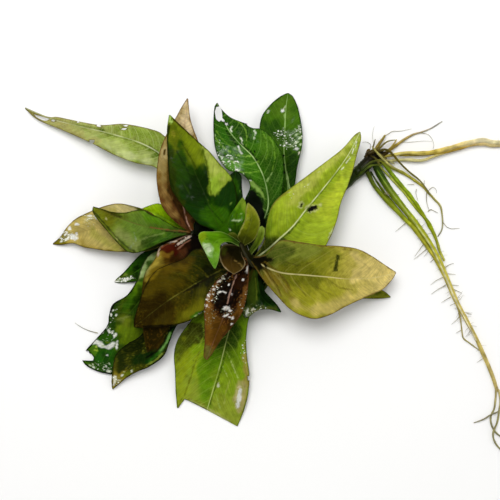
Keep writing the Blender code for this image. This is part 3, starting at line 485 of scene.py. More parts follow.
            ("0A2004", 0.8, 3, "132,268 139,262 139,280 133,278"),
            # painted highlight: the white glare on the wet tip
            ("F0F4E4", 1, 1.2, "122,280.4 127,278.4 132.6,276.6 133,278.2 128,280 123,281.6"),
        ],
        spots=[
            # painted highlights around the glare on the wet tip
            (118.5, 281.2, 1.3, 1, 0, "F0F2E4", 1), (115.6, 280.4, 1, 0.9, 0, "E6EAC8", 0.9),
            (115.8, 278, 0.9, 0.8, 0, "C2D08E", 0.9),
        ],
        sparkle=[(124, 279.6, 10, 2.6, -14, 0.46)],
        wet=[(123, 279, 10, 5, 0, 0.6)],
    ),
    "leaf_lower_dark": dict(
        along="0:2E4A26 0.2:4E6E3A 0.35:3A6212 0.6:465C0C 0.85:1E4A06 1:143206",
        rim=("0E1604", 0.5, 0.85), rib=("5E7E22", 0.3), veins=("5E7E24", 0.25), flecks=("122404", 0.6, 2.6),
        patches=[
            # painted light: a pale sheen on the lit rim of the curled top
            ("BAD286", 0.9, 6, "139,252 152,246 160,250 148,262 143,276 137,281 138,266"),
            ("DCEEB8", 0.85, 2.6, "139.6,262 143,260 141.6,272 138,280 137.4,272"),
            ("AACC88", 0.9, 5, "138,246 154,243 160,247 144,254"),
            ("6E9A14", 0.8, 6, "130,290 138,282 146,278 144,292 132,298"),
            ("3A6A0C", 0.7, 7, "122,300 134,294 142,300 134,314 122,312"),
            ("142C04", 0.8, 6, "138,288 146,284 146,330 136,330 133,308"),
            ("7E8E26", 0.8, 7, "116,318 124,314 132,320 130,330 118,330"),
            ("9AA458", 0.6, 3, "118,319 124,315 130,316 126,320 119,324"),
            ("6A8412", 0.8, 9, "118,330 134,326 142,338 134,346 120,344"),
            ("1A3A08", 0.85, 6, "110,304 118,302 118,318 112,328 109,316"),
            ("265A0A", 0.9, 6, "88,348 104,333 116,338 112,352 98,352"),
            ("1E5A0C", 0.9, 5, "93,352 112,350 114,366 100,364 94,358"),
            ("123A08", 0.8, 3, "100,352 108,354 112,366 106,370 104,360"),
            ("5A8A1C", 0.8, 3, "88,349 94,344 97,350 95,358 92,353"),
            ("4A7A14", 0.8, 2.4, "84,362 94,364 102,370 94,370"),
            # painted reflection: white glare of the light on the wet blade
            (
                "F4F6EE", 1, 1.6,
                "92,343 97,340 101,342 106,345.4 110,344.6 113,342 115,343 113.6,346 108,348 101,348 "
                "97,344.6 93,345",
            ),
        ],
        strokes=[
            ("060A04", 0.9, 0.95, "131,288.5 125.5,297 118.5,300 113,305.5 110.6,312"),
            ("101806", 0.7, 0.9, "86,364 90,368 97,371 104,373 111,373"),
            ("0A1604", 0.8, 0.8, "88,348 98,337 107,327"), ("B4CC4A", 0.6, 0.8, "96,346 98,351 94,350"),
        ],
        spots=[
            # Most of these spots are near-white painted glints on the wet blade.
            (107.6, 342.4, 2.4, 1.2, 20, "5E7A14", 0.95), (103, 346, 2, 0.8, 0, "B4C68A", 0.9),
            (117, 345, 1.3, 3.6, 5, "F2F4EA", 1), (115, 335.4, 1.6, 2.4, 20, "F2F4EA", 1),
            (106.6, 326.6, 1.4, 2.2, -25, "F2F4EA", 1), (109, 331, 1.3, 2.6, -20, "F2F4EA", 1),
            (112.4, 332.4, 1.4, 1.6, 15, "F2F4EA", 1), (102, 333.2, 2.6, 0.8, -30, "EEF2DE", 1),
            (98, 336.4, 1.8, 0.9, -35, "EEF2DE", 1), (112.6, 310.4, 1, 1, 0, "F2F4EA", 1),
            (111, 314.6, 1.1, 1.6, 0, "F2F4EA", 1), (116, 315, 1, 1.1, 0, "EEF2DE", 1),
            (107.3, 355, 1, 1, 0, "F2F4EA", 1), (106, 366.2, 1.1, 1.1, 0, "F2F4EA", 1),
            (109.4, 363.4, 0.8, 1, 0, "D2E8B8", 0.9), (108.6, 371, 2.2, 1.8, 0, "EEF2DE", 1),
            (109, 369.6, 1, 0.9, 0, "2A5A14", 0.9), (93.6, 367.2, 1.4, 0.9, 20, "F2F4EA", 1),
            (93, 364.2, 1, 0.8, 0, "E6EAC8", 0.9), (90, 365.2, 1.8, 0.8, 20, "E6EAC8", 0.8),
        ],
        sparkle=[(104, 343, 10, 5, 10, 0.06), (112, 322, 3, 14, 20, 0.12), (102, 366, 9, 4, 20, 0.12)],
        wet=[(104, 350, 18, 26, 10, 0.5), (114, 315, 12, 12, 0, 0.4)],
        holes=["78,351 88.6,350.8 89.4,353.2 91.4,354 94,357.6 93,360.6 88,360.6 78,360"],
    ),
    "leaf_lower_mottled": dict(
        along="0:1E1A04 0.4:2A2A08 0.7:1E2806 0.85:3E420E 1:A8983A",
        rim=("0A1004", 0.45, 0.7), rib=("3A4A18", 0.2), veins=("3E4A1A", 0.2), flecks=("6E6E24", 0.85, 1.9),
        patches=[
            ("4A3410", 0.9, 5, "146,326 168,326 164,340 156,352 148,348"),
            ("121C04", 0.85, 5, "118,342 134,331 147,333 142,350 124,354"),
            ("0E2A08", 0.9, 5, "130,358 146,352 156,350 148,362 132,370"),
            ("16240A", 0.8, 6, "116,352 128,350 126,370 117,376"),
            ("9A8A34", 0.95, 3, "111,373 126,370 124,378 116,388 111,388"),
            ("6A7A1E", 0.8, 3, "120,374 134,369 130,374 122,379"),
            # painted highlight on the wet tip
            ("F6F2D6", 1, 1.2, "114,375 116.4,376 115.6,382 113.6,386 112.6,383"),
        ],
        strokes=[
            ("0E360C", 2.6, 0.95, "174,328 168,340 160,352 148,362"),
            ("7CB25C", 1.2, 0.95, "170,333 166,343 160,352"), ("2E6A1A", 1, 0.8, "160,352 150,361"),
            ("98AE4A", 0.7, 0.8, "163,353 154,361 147,365"),
            ("060C04", 0.9, 0.95, "176,326 170,329 164,342 157,351 146,358"),
        ],
        spots=[
            # The near-white spots are painted glints on the wet tip.
            (122, 375.4, 1.3, 1.2, 0, "F2F4E2", 1), (119.5, 380.2, 1.4, 0.8, -30, "F2F0D2", 0.9),
            (131.6, 371, 1.1, 1.2, 0, "F2F4E2", 1), (117.4, 381.6, 0.8, 0.9, 0, "5A3E12", 0.9),
            (113.4, 385, 1, 0.8, 0, "F6F4E4", 1), (124, 371.6, 1.2, 0.8, 0, "C2C67A", 0.9),
        ],
        sparkle=[(116, 380, 4, 5, 0, 0.24)],
        wet=[(124, 370, 20, 14, 0, 0.3)],
    ),
    "leaf_purple_fold": dict(
        along="0:1E0E08 0.15:4A2016 0.35:5A4A0E 0.7:2E2406 1:241C04",
        rim=("3A2E0A", 0.45, 0.5), rib=("5E4E1E", 0.2), veins=("5E5218", 0.2), flecks=("6A4A12", 0.4, 2.2),
        patches=[
            # painted shade: nearly black in the deep gap by the joint
            ("0A0604", 0.98, 2, "187,236 200,232 204,262 186,262 182,250"),
            ("2E1408", 0.8, 4, "172,246 188,244 190,262 170,262"),
            ("C0AA4A", 0.85, 7, "143,262 153,252 164,252 160,266 150,276 142,275"),
            ("C2C67A", 0.7, 4, "145,266 150,262 150,270 144,277"),
            ("8A7420", 0.8, 5, "150,272 160,266 168,264 160,276 146,284"),
            ("403606", 0.8, 8, "143,286 160,280 164,310 150,326 143,318"),
            ("96702C", 0.8, 5, "159,254 164,251 171,254 170,259 161,260"),
            ("4E160E", 0.95, 2.6, "160,247 166,244 175,245 176,251 166,252 160,251"),
            ("46100A", 0.9, 2, "174,246 179,243 180,252 175,256"),
            ("5E3424", 0.6, 3, "178,250 186,247 186,256 180,258"),
        ],
        strokes=[
            # The pale strokes along the red petiole are painted highlights.
            ("E2C8B6", 0.9, 0.95, "192,235 185,239.6 178,244"),
            ("9A6A5A", 0.7, 0.9, "190,240 184,243.6 178,249"),
            ("C09A8A", 0.6, 0.8, "188,234.6 180,238.4 172,241.6"),
            ("D8C2AA", 0.8, 0.95, "176,241 169,241.6 163,243.4 159.4,247 158,256"),
            ("8A4A30", 0.5, 0.8, "174,243.6 166,244.8 161,248"),
            ("1E0C04", 0.7, 0.9, "180,262 177,266 175,270"),
            # painted shadow: a dark line across the lower blade
            ("1A1004", 1.2, 0.8, "144,327 160,326 176,326"),
            ("6E4A22", 0.5, 0.6, "160,330 164,340 160,350"),
        ],
        spots=[(150, 282, 2.4, 1.4, -30, "A89038", 0.6), (152, 279, 0.9, 0.9, 0, "E8E6C8", 0.9)],
        sparkle=[(184, 240, 7, 2, -32, 0.3)],
        wet=[(170, 245, 18, 8, -15, 0.35)],
    ),
    "leaf_brown_broad": dict(
        along="0:141404 0.2:242A08 0.45:3A3A08 0.7:403206 1:281E04",
        rim=("141004", 0.45, 0.7), rib=("7A7A2E", 0.55), veins=("5A5618", 0.22), flecks=("6E5A14", 0.5, 1.8),
        patches=[
            ("54420C", 0.8, 8, "156,262 170,256 196,258 190,268 166,274 150,276"),
            ("A88C26", 0.85, 4, "148,270 157,264 162,266 157,275 149,282"),
            ("6E5812", 0.6, 7, "164,266 184,260 188,270 168,276"),
            ("3A2A08", 0.7, 4, "168,258 186,256 188,264 172,266"),
            ("54460A", 0.8, 10, "145,280 172,274 188,280 166,296 146,300"),
            ("1E2A06", 0.85, 12, "192,256 212,252 216,268 204,276 194,270"),
            ("121604", 0.9, 8, "190,282 204,278 210,290 206,302 192,300"),
            ("161A06", 0.9, 5, "203,268 218,264 216,276 208,290 203,284"),
            ("62600F", 0.95, 14, "178,318 193,304 206,298 208,312 192,322 176,326"),
            ("84821E", 0.6, 9, "186,314 196,304 205,303 196,319"),
            ("2A1E04", 0.85, 9, "142,304 160,296 174,298 168,318 146,326"),
            ("463A08", 0.6, 6, "158,314 172,312 170,325 152,326"),
            ("2A6A14", 0.9, 2.4, "190,316 198,312 205,311 200,319 192,320"),
        ],
        strokes=[
            ("1A1404", 0.8, 0.8, "216,274.6 205,280 195,286 184,292"),
            ("100C04", 0.9, 0.9, "143,326.4 160,325.6 176,325.4 184,323"),
            ("5E5A18", 0.5, 0.5, "208,277 200,268 188,262"),
            ("5E5A18", 0.5, 0.5, "196,284 186,276 172,272"),
            ("4E4A14", 0.5, 0.5, "200,284 198,296 192,306"),
            ("4E4A14", 0.5, 0.5, "186,292 182,302 174,312"),
        ],
        # The white spot is a painted glint, with a pale green rim.
        spots=[(201, 313.2, 2.6, 0.9, -25, "F0F4E2", 1), (196, 315.8, 2.2, 0.8, -25, "B4D27A", 0.9)],
    ),
    "leaf_small_bright": dict(
        along="0:162406 0.15:243E08 0.26:4A7A08 0.36:5E900A 0.6:74A62E 1:5E9A30",
        rim=("A6CB66", 0.35, 0.4), rib=("86B63A", 0.2), veins=("7AAE2E", 0.15),
        patches=[
            ("8AA20E", 0.8, 4, "198,231 206,231 208,238 202,242 198,237"),
            ("5A9406", 0.8, 4, "206,232 218,234 216,242 208,242"),
            # painted highlight: the whitish gloss on the blade
            ("C6DEA6", 0.95, 4, "204,244 209,244 212,250 213,257 208,255 204,249"),
            ("7EB244", 0.7, 4, "210,252 218,252 217,264 213,264"),
            ("6EA01E", 0.6, 3, "213,240 221,242 220,252 214,250"),
        ],
        strokes=[("4A7A0E", 0.7, 0.7, "206,236 212,240 218,243")],
        # The pale spot at 209, 250 is a painted highlight.
        spots=[(206.4, 239, 0.8, 0.8, 0, "2E4A08", 0.9), (209, 250, 2, 2.6, -25, "E4F0D0", 0.7)],
        wet=[(209, 250, 7, 8, 0, 0.4)],
    ),
    "leaf_young_upright": dict(
        along="0:1E4206 0.4:3E6E06 0.7:528606 1:8AA640",
        rim=("5E8A1A", 0.3, 0.2), rib=("4E7E12", 0.3), veins=("4E7E14", 0.2),
        patches=[
            ("4E8406", 0.8, 4, "238,204 246,208 245,220 238,220 234,212"),
            ("26540A", 0.8, 4, "226,214 234,212 234,226 228,232"),
            ("1E3A06", 0.8, 3, "228,226 240,224 242,234 230,236"),
            ("86A034", 0.7, 3, "243,198 246,204 246.4,214 243,212"),
            # painted highlight: a thin white bar of gloss
            ("CFE4AE", 1, 0.9, "231.6,220.4 234,219.6 240.6,219.8 240.4,221.2 234,221.2"),
        ],
        strokes=[("163606", 0.7, 0.8, "232,223.4 238,222.6 242,223")],
        # The pale spot at 229, 230 is a painted highlight.
        spots=[(229, 230, 1.4, 1.1, 0, "DCECC6", 1), (241, 213.6, 0.8, 0.7, 0, "B8D084", 0.8)],
        wet=[(236, 222, 8, 8, 0, 0.4)],
    ),
    "leaf_young_arched": dict(
        along="0:2A2E08 0.3:565E0E 0.7:76821A 1:9E9E42",
        rim=("A2A450", 0.4, 0.7), rib=("6A742A", 0.3), veins=("6A7420", 0.2),
        patches=[
            ("3A400C", 0.8, 3, "232,238 246,236 254,240 250,246 234,244"),
            ("8A961E", 0.7, 3, "244,208 250,208 252,222 246,230 242,222"),
            ("5E6A10", 0.7, 3, "252,214 258,220 258,232 250,232"),
        ],
        strokes=[("A8AC58", 0.6, 0.8, "247.4,206 245.4,216 243,226 238,234 233,241")],
        wet=[(247, 215, 6, 9, 0, 0.4)],
    ),
    "leaf_young_cupped": dict(
        along="0:2E2E0C 0.25:282208 0.6:342610 1:7A623A",
        rim=("A8946A", 0.4, 0.85), rib=("4A3A1A", 0.25), veins=("4E3E18", 0.2),
        patches=[
            ("4E3A18", 0.85, 4, "224,258 234,262 240,266 236,273 228,271 222,264"),
            # painted shade: the dark inside of the cup
            ("141206", 0.85, 3, "226,247 243,248 245,260 238,261 227,254"),
            ("465010", 0.7, 3, "220,246 226,245 226,254 221,256"),
        ],
        strokes=[("8E7648", 0.5, 0.7, "234,260 240,264 243,268")],
        wet=[(228, 255, 8, 12, 0, 0.3)],
    ),
    "bud_scale": dict(
        along="0:1E2408 1:5E6A1E",
        rim=("6E7830", 0.35, 0.5), rib=("6A7430", 0.3), veins=("5A6420", 0.2),
    ),
    "bud_pale": dict(
        along="0:1E2A08 0.25:56701A 0.5:94AE34 1:A6C050",
        rim=("A2B45E", 0.35, 0.4), rib=("96AE4A", 0.3), veins=("8AA63E", 0.2),
        patches=[("7E9A24", 0.6, 2, "258,232 264,232 262,243 257,242")],
    ),
    "leaf_red_wet": dict(
        along="0:1E0C06 0.3:140A06 0.55:2E160A 0.8:6E461E 1:66622C",
        rim=("6A4226", 0.45, 0.6), rib=("9A705A", 0.35), veins=("5E3A20", 0.2), flecks=("A8703A", 0.5, 1.8),
        patches=[
            ("704216", 0.9, 4, "214,282 206,294 204,308 211,306 215,294 220,284"),
            ("9A6A36", 0.8, 4, "204,296 209,292 212,306 208,318 204,314"),
            ("7A5420", 0.9, 5, "204,312 212,308 218,322 214,340 206,344 205,328"),
            ("0C0604", 0.95, 5, "222,278 238,280 236,296 230,312 219,314 214,300"),
            ("7A5028", 0.9, 4, "242,288 248,284 247,300 240,314 236,306 241,296"),
            ("2A1408", 0.9, 3, "234,276 248,274 247,284 240,290 234,288"),
            ("6A461A", 0.9, 5, "230,318 240,308 238,320 228,334 222,330"),
            ("2E200A", 0.8, 4, "226,326 238,316 236,326 226,338 221,340"),
            ("5A3C12", 0.9, 5, "216,318 226,320 222,340 214,348 212,332"),
            ("6E6A36", 0.9, 3, "206,346 211,346 209,356 206.6,359 205.4,352"),
            # painted shade: nearly black by the middle of the rosette
            ("0A0604", 0.9, 2, "246,262 252,266 252,276 247,274"),
            # painted highlight: the white triangle by the base
            ("F0ECE2", 0.95, 1.2, "249.6,262.6 247.6,266 245.4,271 247.8,273 249,268"),
        ],
        strokes=[
            # painted highlight
            ("F4F2EC", 0.8, 1, "217.4,293.6 220,291.8 223,291.4 225.6,292.6"),
            ("C8A08C", 0.5, 0.7, "236.6,275 232.6,285 229,296 227.4,303"),
            ("2A1008", 0.8, 0.8, "238.6,276 234.4,288 231,300"),
        ],
        spots=[
            # The near-white spots are painted glints on the wet blade.
            (227, 308, 3, 1.8, 0, "F6F4EE", 1), (230, 310.4, 2, 1.2, 20, "F6F4EE", 1),
            (223.8, 309.4, 1.2, 0.8, 0, "F6F4EE", 1), (225.6, 315.6, 3, 1, -15, "F6F4EE", 1),
            (229.4, 316.8, 1.3, 0.8, 20, "F6F4EE", 1), (232.8, 318.2, 1.4, 1.3, 0, "F6F4EE", 1),
            (232, 324, 1.3, 1, 30, "F6F4EE", 0.95), (228.6, 284.6, 1.2, 1, 30, "F6F4EE", 1),
            (231.8, 294.4, 0.9, 1.3, -20, "F6F4EE", 1), (243, 279.4, 1.6, 1.1, 40, "F6F4EE", 1),
            (219, 281, 2.2, 0.9, -35, "EEE2D2", 0.95), (213.4, 289.6, 1.2, 1, 0, "F2EAE0", 0.9),
            (208.6, 295, 1.2, 2, 30, "F6F0E8", 1), (207.4, 299, 1, 1.2, 0, "F2E6D4", 1),
            (206, 306, 1, 1.2, 0, "F6F0E8", 0.95), (247.4, 267.4, 0.7, 3, 20, "F0ECE2", 0.9),
        ],
        sparkle=[
            (212, 290, 8, 18, 25, 0.2), (222, 278, 8, 4, -40, 0.24), (228, 313, 8, 6, 0, 0.06),
            (210, 314, 6, 12, 0, 0.08), (244, 300, 4, 14, 15, 0.06),
        ],
        wet=[(220, 298, 20, 30, 15, 0.38)],
    ),
    "leaf_upper_glossy": dict(
        along="0:060A04 0.2:1E3E08 0.4:30600A 0.65:38700C 0.85:265A04 1:1C3E08",
        rim=("12300A", 0.45, 0.75), rib=("B4D286", 0.95), veins=("82AE48", 0.45),
        patches=[
            # painted shade: nearly black where the blade curves down out of the light
            ("050804", 0.98, 2.6, "250,188 256,190 262,200 266,214 264,240 240,244 240,205"),
            ("286404", 0.8, 8, "216,124 228,132 240,148 234,158 219,150"),
            ("1E4606", 0.8, 6, "224,110 236,119 252,127 254,140 242,136 230,126"),
            ("1C4A04", 0.65, 6, "264,136 277,146 281,166 276,184 268,176 264,152"),
            ("4E7A18", 0.6, 7, "256,128 266,130 276,140 280,156 268,158 256,146"),
            ("2A5208", 0.7, 7, "262,160 280,158 280,184 270,196 266,178"),
            # painted shade under the lit fold
            ("10300A", 0.9, 1.6, "243.6,171 243.4,182 251,186 260,195 264,206 262,190 252,178"),
            # painted light: the lit edge of the fold
            ("94BA58", 0.95, 1.4, "249,180 257,184.4 262.6,191 265,199 261.6,196 255,188.4 247,182.4"),
            ("427E10", 0.7, 5, "234,160 250,158 260,170 261,180 248,175 238,169"),
            ("62A03A", 0.75, 5, "216,152 224,156 240,166 236,171 226,167 218,158"),
        ],
        strokes=[
            # painted shade beside the raised midrib
            ("0A2404", 1.2, 0.85, "226,130.6 232,138.6 238,145.6"),
            ("0A2404", 1, 0.85, "240,142.6 246,147.6 253,154.6 258,162.6"),
            ("0E2C08", 0.9, 0.8, "218,153 226,157.6 236,160.6"),
            ("0C2606", 1, 0.9, "213.8,112 213.4,125 214.6,140"),
            # The next five near-white strokes are painted glints.
            ("F2F8E4", 0.6, 1, "231.8,126.6 230.6,129 231.4,131.6"),
            ("EEF4D8", 0.6, 1, "240.4,138 242.2,140.4 241.4,142.4 243.2,145"),
            ("F2F8E4", 0.6, 0.95, "254.4,130.6 255.6,133.6 254.6,135.4"),
            ("EEF6DE", 0.5, 0.9, "254,137 254.2,138.4"),
            ("F6F8EE", 0.9, 1, "238.4,147 239.2,149.6 241.4,153.6"),
            ("9CCA56", 0.45, 0.9, "215.6,137.6 220,144 227,150 236,155 246,156.6 251,156"),
            ("7EAE3E", 0.45, 0.7, "216.4,131 221,138 229,145 237,149.6 243,150.6"),
            ("8EBE4A", 0.45, 0.8, "234,119.6 241,123 245.6,130 247,137 246,146"),
            ("8EBE4A", 0.45, 0.8, "232,161.6 242,164.4 252,164 259,161.6"),
            ("86B644", 0.45, 0.8, "240,171.6 250,173 260,170.8"),
            ("86B644", 0.45, 0.6, "262,131 266,139 267.4,150 266,161"),
            ("86B644", 0.45, 0.5, "269,136 274,146 275,158 272,172"),
            ("A8C878", 0.4, 0.8, "267,181 270,176 274,170"),
        ],
        spots=[
            # The near-white spots are painted glints. The black one at 254.6, 151.4 is a small hole painted
            # as the shade seen through it.
            (249.6, 180.4, 1.8, 0.9, 0, "F2F6E8", 1), (243.4, 176, 0.7, 4, -6, "D2E4B4", 0.9),
            (238.6, 170.6, 1.8, 0.7, 0, "F0F6E4", 0.95), (254.6, 151.4, 1.1, 1.3, 0, "060A02", 1),
            (214.8, 136, 0.7, 1.8, 0, "C8E4A0", 0.9), (239.8, 149, 0.8, 1.4, -30, "5E5A1E", 0.8),
            (241.6, 140.6, 0.7, 1.2, 0, "6E6A2A", 0.7),
        ],
        sparkle=[
            (228, 161, 12, 6, 30, 0.26), (236, 169.6, 5, 1.4, 0, 0.45), (231, 156, 6, 1.6, 20, 0.26),
            (221, 148, 4, 8, -20, 0.06),
        ],
        wet=[(232, 158, 18, 14, 20, 0.5), (245, 138, 14, 14, 0, 0.3)],
        holes=[
            "216.4,107 219.6,106.4 221.6,110 222.4,116 222.2,119.4 219,121.8 216,119 214.8,112",
            "221.4,117.4 224.6,120 224.4,122 221.6,121", (226.6, 124, 1.8, 1.4, 0),
            "246.6,124.4 249,126.6 253,128.2 260,128.4 261,124 252,120.6",
        ],
    ),
    "leaf_upper_round": dict(
        along="0:14300A 0.4:2E5A0A 0.75:467212 1:426A18",
        rim=("163A08", 0.45, 0.8), rib=("A2C46E", 0.7), veins=("6E9A38", 0.25),
        patches=[
            ("1E460A", 0.85, 6, "260,122 276,118 284,126 282,142 270,134"),
            ("5A7E24", 0.7, 8, "276,98 292,96 298,112 290,120 276,112"),
            ("3A660E", 0.6, 6, "290,104 299,108 301,124 292,124"),
            ("12300A", 0.85, 6, "288,150 300,154 297,175 291,188 287,170"),
            ("2A520C", 0.7, 6, "270,140 284,150 284,185 276,170"),
            ("2E520E", 0.6, 8, "276,128 300,128 300,148 284,150"),
        ],
        strokes=[
            ("A2C46E", 0.5, 0.9, "285,114 285,122 284.8,128"),
            ("B4D286", 0.6, 0.9, "286.6,172 288,180 289.6,188"),
        ],
        spots=[
            # The near-white and pale green spots are painted glints on the wet blade.
            (282.6, 110.6, 1.8, 1.8, 20, "F6F8EE", 1), (284.4, 107.6, 0.7, 2, 30, "C8D8A0", 0.9),
            (268.2, 111.6, 0.8, 2, 0, "F2F6E2", 0.95), (299.6, 126.6, 1.5, 0.9, 0, "F6F8EA", 1),
            (300.6, 131.6, 1, 1.2, 0, "F2F6E2", 0.95), (296.4, 148.6, 2.2, 1.5, 0, "F8F8F4", 1),
            (299.6, 152.6, 1.2, 1.6, 30, "F0EAD2", 0.95), (300.6, 138, 1.8, 1.3, 0, "D6E6BC", 0.9),
            (296.6, 142.4, 2.4, 1.1, -20, "CCDEB0", 0.85), (301, 144.4, 1.4, 1.4, 0, "D6E6BC", 0.9),
            (296.4, 134.6, 2.2, 0.9, -30, "C2D8A0", 0.8), (291.4, 146, 2, 1, 10, "C2D8A0", 0.8),
            (283.6, 156, 1.1, 1.5, 0, "060A02", 1), (284, 164.8, 1, 1.4, 0, "060A02", 1),
            (284, 172.4, 1.1, 1.9, 0, "060A02", 1),
        ],
        sparkle=[
            (288, 137, 14, 9, 10, 0.18), (280, 133, 6, 4, -10, 0.22), (290, 145, 8, 3.4, 0, 0.3),
            (298, 130, 4, 6, 0, 0.26),
        ],
        wet=[(288, 138, 16, 12, 0, 0.5), (285, 112, 16, 14, 0, 0.3)],
    ),
    "leaf_right_lime": dict(
        along="0:56700F 0.15:8CA41C 0.35:AEC434 0.65:B8CC3C 0.85:BCCE50 1:AEBC5A",
        rim=("8E8E3A", 0.45, 0.6), rib=("E2E8AC", 0.9), veins=("A6BA52", 0.2),
        patches=[
            ("C4C65E", 0.7, 9, "344,142 352,138 340,160 318,184 296,206 284,208 292,192"),
            ("C4D03E", 0.7, 10, "350,166 345,180 338,202 328,222 304,218 318,196 336,176"),
            ("A6BC36", 0.7, 10, "300,224 318,214 332,224 326,242 300,238 288,234"),
            # painted shade: darker green by the base
            ("6E8A14", 0.8, 7, "262,214 268,206 274,212 274,228 268,240 262,240"),
            (
                "86A020", 0.65, 5,
                "346,150 352,154 334,184 320,206 306,228 290,242 274,240 282,224 298,204 320,180",
            ),
            ("94A82A", 0.7, 5, "348,146 358,142 355,164 346,178 340,170"),
            # painted shade: nearly black at the base in the middle of the rosette
            ("2A360A", 0.95, 6, "258,238 270,237 284,239 272,250 250,262"),
            ("A2B838", 0.6, 6, "280,214 296,212 282,228 272,234"),
            ("98A838", 0.6, 5, "354,140 358,142 355,156 350,168 346,166 350,152"),
        ],
        strokes=[
            # painted shadow beside the midrib
            ("5E7A14", 0.7, 0.7, "340,168 328,184 313,202 302,216 288,232"),
            # The near-white strokes are painted highlights at the wet tip.
            ("F4F6E4", 0.5, 1, "356.4,142 355.6,147"), ("F4F6E4", 0.7, 1, "353.4,149 352.4,153"),
            ("ECF0D0", 0.5, 0.9, "350,158 346,163"), ("F0F2DA", 0.5, 0.9, "343.6,167.6 341.4,169.6"),
            ("E2E6B8", 0.4, 0.8, "334,226 331,232 328.6,238"),
            ("A0B430", 0.5, 0.5, "316,214 328,212 336,204"),
            ("A0B430", 0.5, 0.5, "304,226 316,232 328,232"),
            # painted shadow beside the lower midrib
            ("2E400A", 0.7, 0.8, "300,221 290,232 281,239.4"),
            ("8E7A3A", 0.5, 0.6, "269,208 280,198 292,189"),
        ],
        spots=[
            # The black spots make a hole painted as the shade seen through it, with a pale rim.
            (311.5, 208.4, 7, 4.4, -10, "CCD084", 0.9), (301, 205, 2.6, 4, 25, "C8CC84", 0.8),
            (311.8, 208.4, 4.8, 2.6, -8, "060602", 1), (309, 210.4, 1.8, 2, 0, "060602", 1),
            (315.8, 206.8, 1.6, 2, 20, "060602", 1), (301.2, 205.2, 1.1, 2.8, 25, "1E2408", 1),
            (308, 184.6, 1.6, 0.8, -40, "D6DCA6", 0.7), (288.4, 192.4, 1.4, 0.7, -20, "C8D08E", 0.6),
            (318.6, 172, 1.8, 0.7, -40, "CCD494", 0.6),
        ],
        sparkle=[(353, 150, 4, 12, 22, 0.06), (300, 190, 14, 3, -38, 0.06)],
        wet=[(352, 150, 8, 14, 20, 0.4)],
    ),
    "leaf_right_olive": dict(
        along="0:241E08 0.08:3A3A10 0.2:86842C 0.5:A2A030 0.75:CCBC5E 1:E8D28E",
        rim=("7E6232", 0.45, 0.6), rib=("DACF90", 0.75), veins=("B2AA52", 0.25), flecks=("7A6A20", 0.2, 2.6),
        patches=[
            ("7C8838", 0.9, 6, "268,244 284,240 308,243 330,247 322,256 300,264 276,268 266,256"),
            ("3E4E1A", 0.8, 7, "264,246 284,244 296,252 286,264 268,266"),
            ("7E8222", 0.7, 8, "304,262 332,248 346,252 334,272 310,272"),
            ("E6D27E", 0.85, 9, "354,254 374,260 392,271 380,282 356,278"),
            ("A4A22C", 0.7, 14, "290,282 320,280 352,284 344,298 312,306 296,296"),
            ("D8C46E", 0.75, 12, "290,300 310,306 336,304 362,292 352,304 324,318 304,314"),
            ("5A600A", 0.75, 9, "276,262 300,262 322,272 334,280 318,290 298,288 282,276"),
            ("7A6420", 0.75, 6, "266,270 282,276 298,298 292,302 274,288 264,278"),
            # painted shade: nearly black at the base in the middle of the rosette
            ("0C0A04", 0.97, 6, "248,252 264,251 271,259 268,269 258,271"),
            ("2C3408", 0.97, 1.2, "336.6,255.4 340,254.8 337.4,271 333,271.6"),
            ("A89458", 0.6, 3, "356,258 364,262 370,268 362,264"),
        ],
        strokes=[
            ("4A380E", 1, 0.75, "262,264 269,275 277,286 281,296"),
            ("5A4614", 1.1, 0.6, "265,262 275,269 284,279 291,290"),
            ("9E8E52", 1, 0.55, "264,271 272,283 280,295"), ("98904E", 0.8, 0.5, "270,269 280,280 287,292"),
            ("5E5418", 0.5, 0.6, "282,268 296,282 306,296"),
            ("3E3A10", 0.6, 0.6, "286,262 298,266 312,262"),
            ("665E1C", 0.45, 0.5, "308,277 318,288 334,296"),
            ("665E1C", 0.45, 0.5, "326,278 340,288 354,290"),
            ("665E1C", 0.45, 0.4, "316,275 328,264 344,258"),
            ("6E5A22", 0.5, 0.7, "284,241 308,243.6 330,247.4 352,250"),
            ("787226", 0.5, 0.5, "300,276 306,290 316,304"),
        ],
        wet=[(300, 285, 30, 20, 0, 0.15)],
    ),
    "leaf_right_hidden": dict(
        along="0:3E5A10 0.5:8A9222 0.85:A2A638 1:767C24",
        rim=("5A5E16", 0.4, 0.6), rib=("9EAA4A", 0.4), veins=("7E8A2E", 0.2),
        patches=[("3E5210", 0.7, 3, "366,294 380,290 390,296 384,294")],
    ),
    "leaf_under_dark": dict(
        along="0:060904 0.25:0C2206 0.6:123206 1:1E460A",
        rim=("0A1A04", 0.45, 0.6), rib=("3E6A20", 0.35), veins=("2E5A1A", 0.25), flecks=("061204", 0.6, 2.2),
        patches=[
            # painted shade: nearly black where the blade runs into the middle of the rosette
            ("080A04", 0.95, 4, "244,256 264,258 266,276 258,286 250,282 246,270"),
            ("46581A", 0.85, 4, "248,270 258,272 259,290 257,304 248,306 246,288"),
            ("0A1A04", 0.8, 4, "260,276 264,290 274,304 262,304 259,290"),
            ("565C2A", 0.85, 3, "246,307 262,306 276,307 278,314 262,318 246,324"),
            ("6A7846", 0.7, 3, "244,308 250,306 250,322 244,326"),
        ],
        strokes=[
            ("4A3610", 1.4, 0.7, "256,263 252,272 249,280"),
            ("6E7E2E", 0.5, 0.7, "254,270 256,284 257,300"),
        ],
        spots=[
            # Most of these spots are painted glints and reflections along the wet lower edge.
            (247, 312, 1.2, 4, 15, "F0F4E4", 1), (244.4, 320, 0.9, 2.6, 10, "EEF2E2", 0.9),
            (258, 312, 4.4, 0.8, 10, "DDD2A8", 1), (270, 312, 5, 0.8, 8, "D6CA9E", 0.95),
            (265, 316, 4.4, 0.7, -8, "D2C696", 0.95), (253, 309.6, 2, 0.7, -30, "F0EAD2", 0.95),
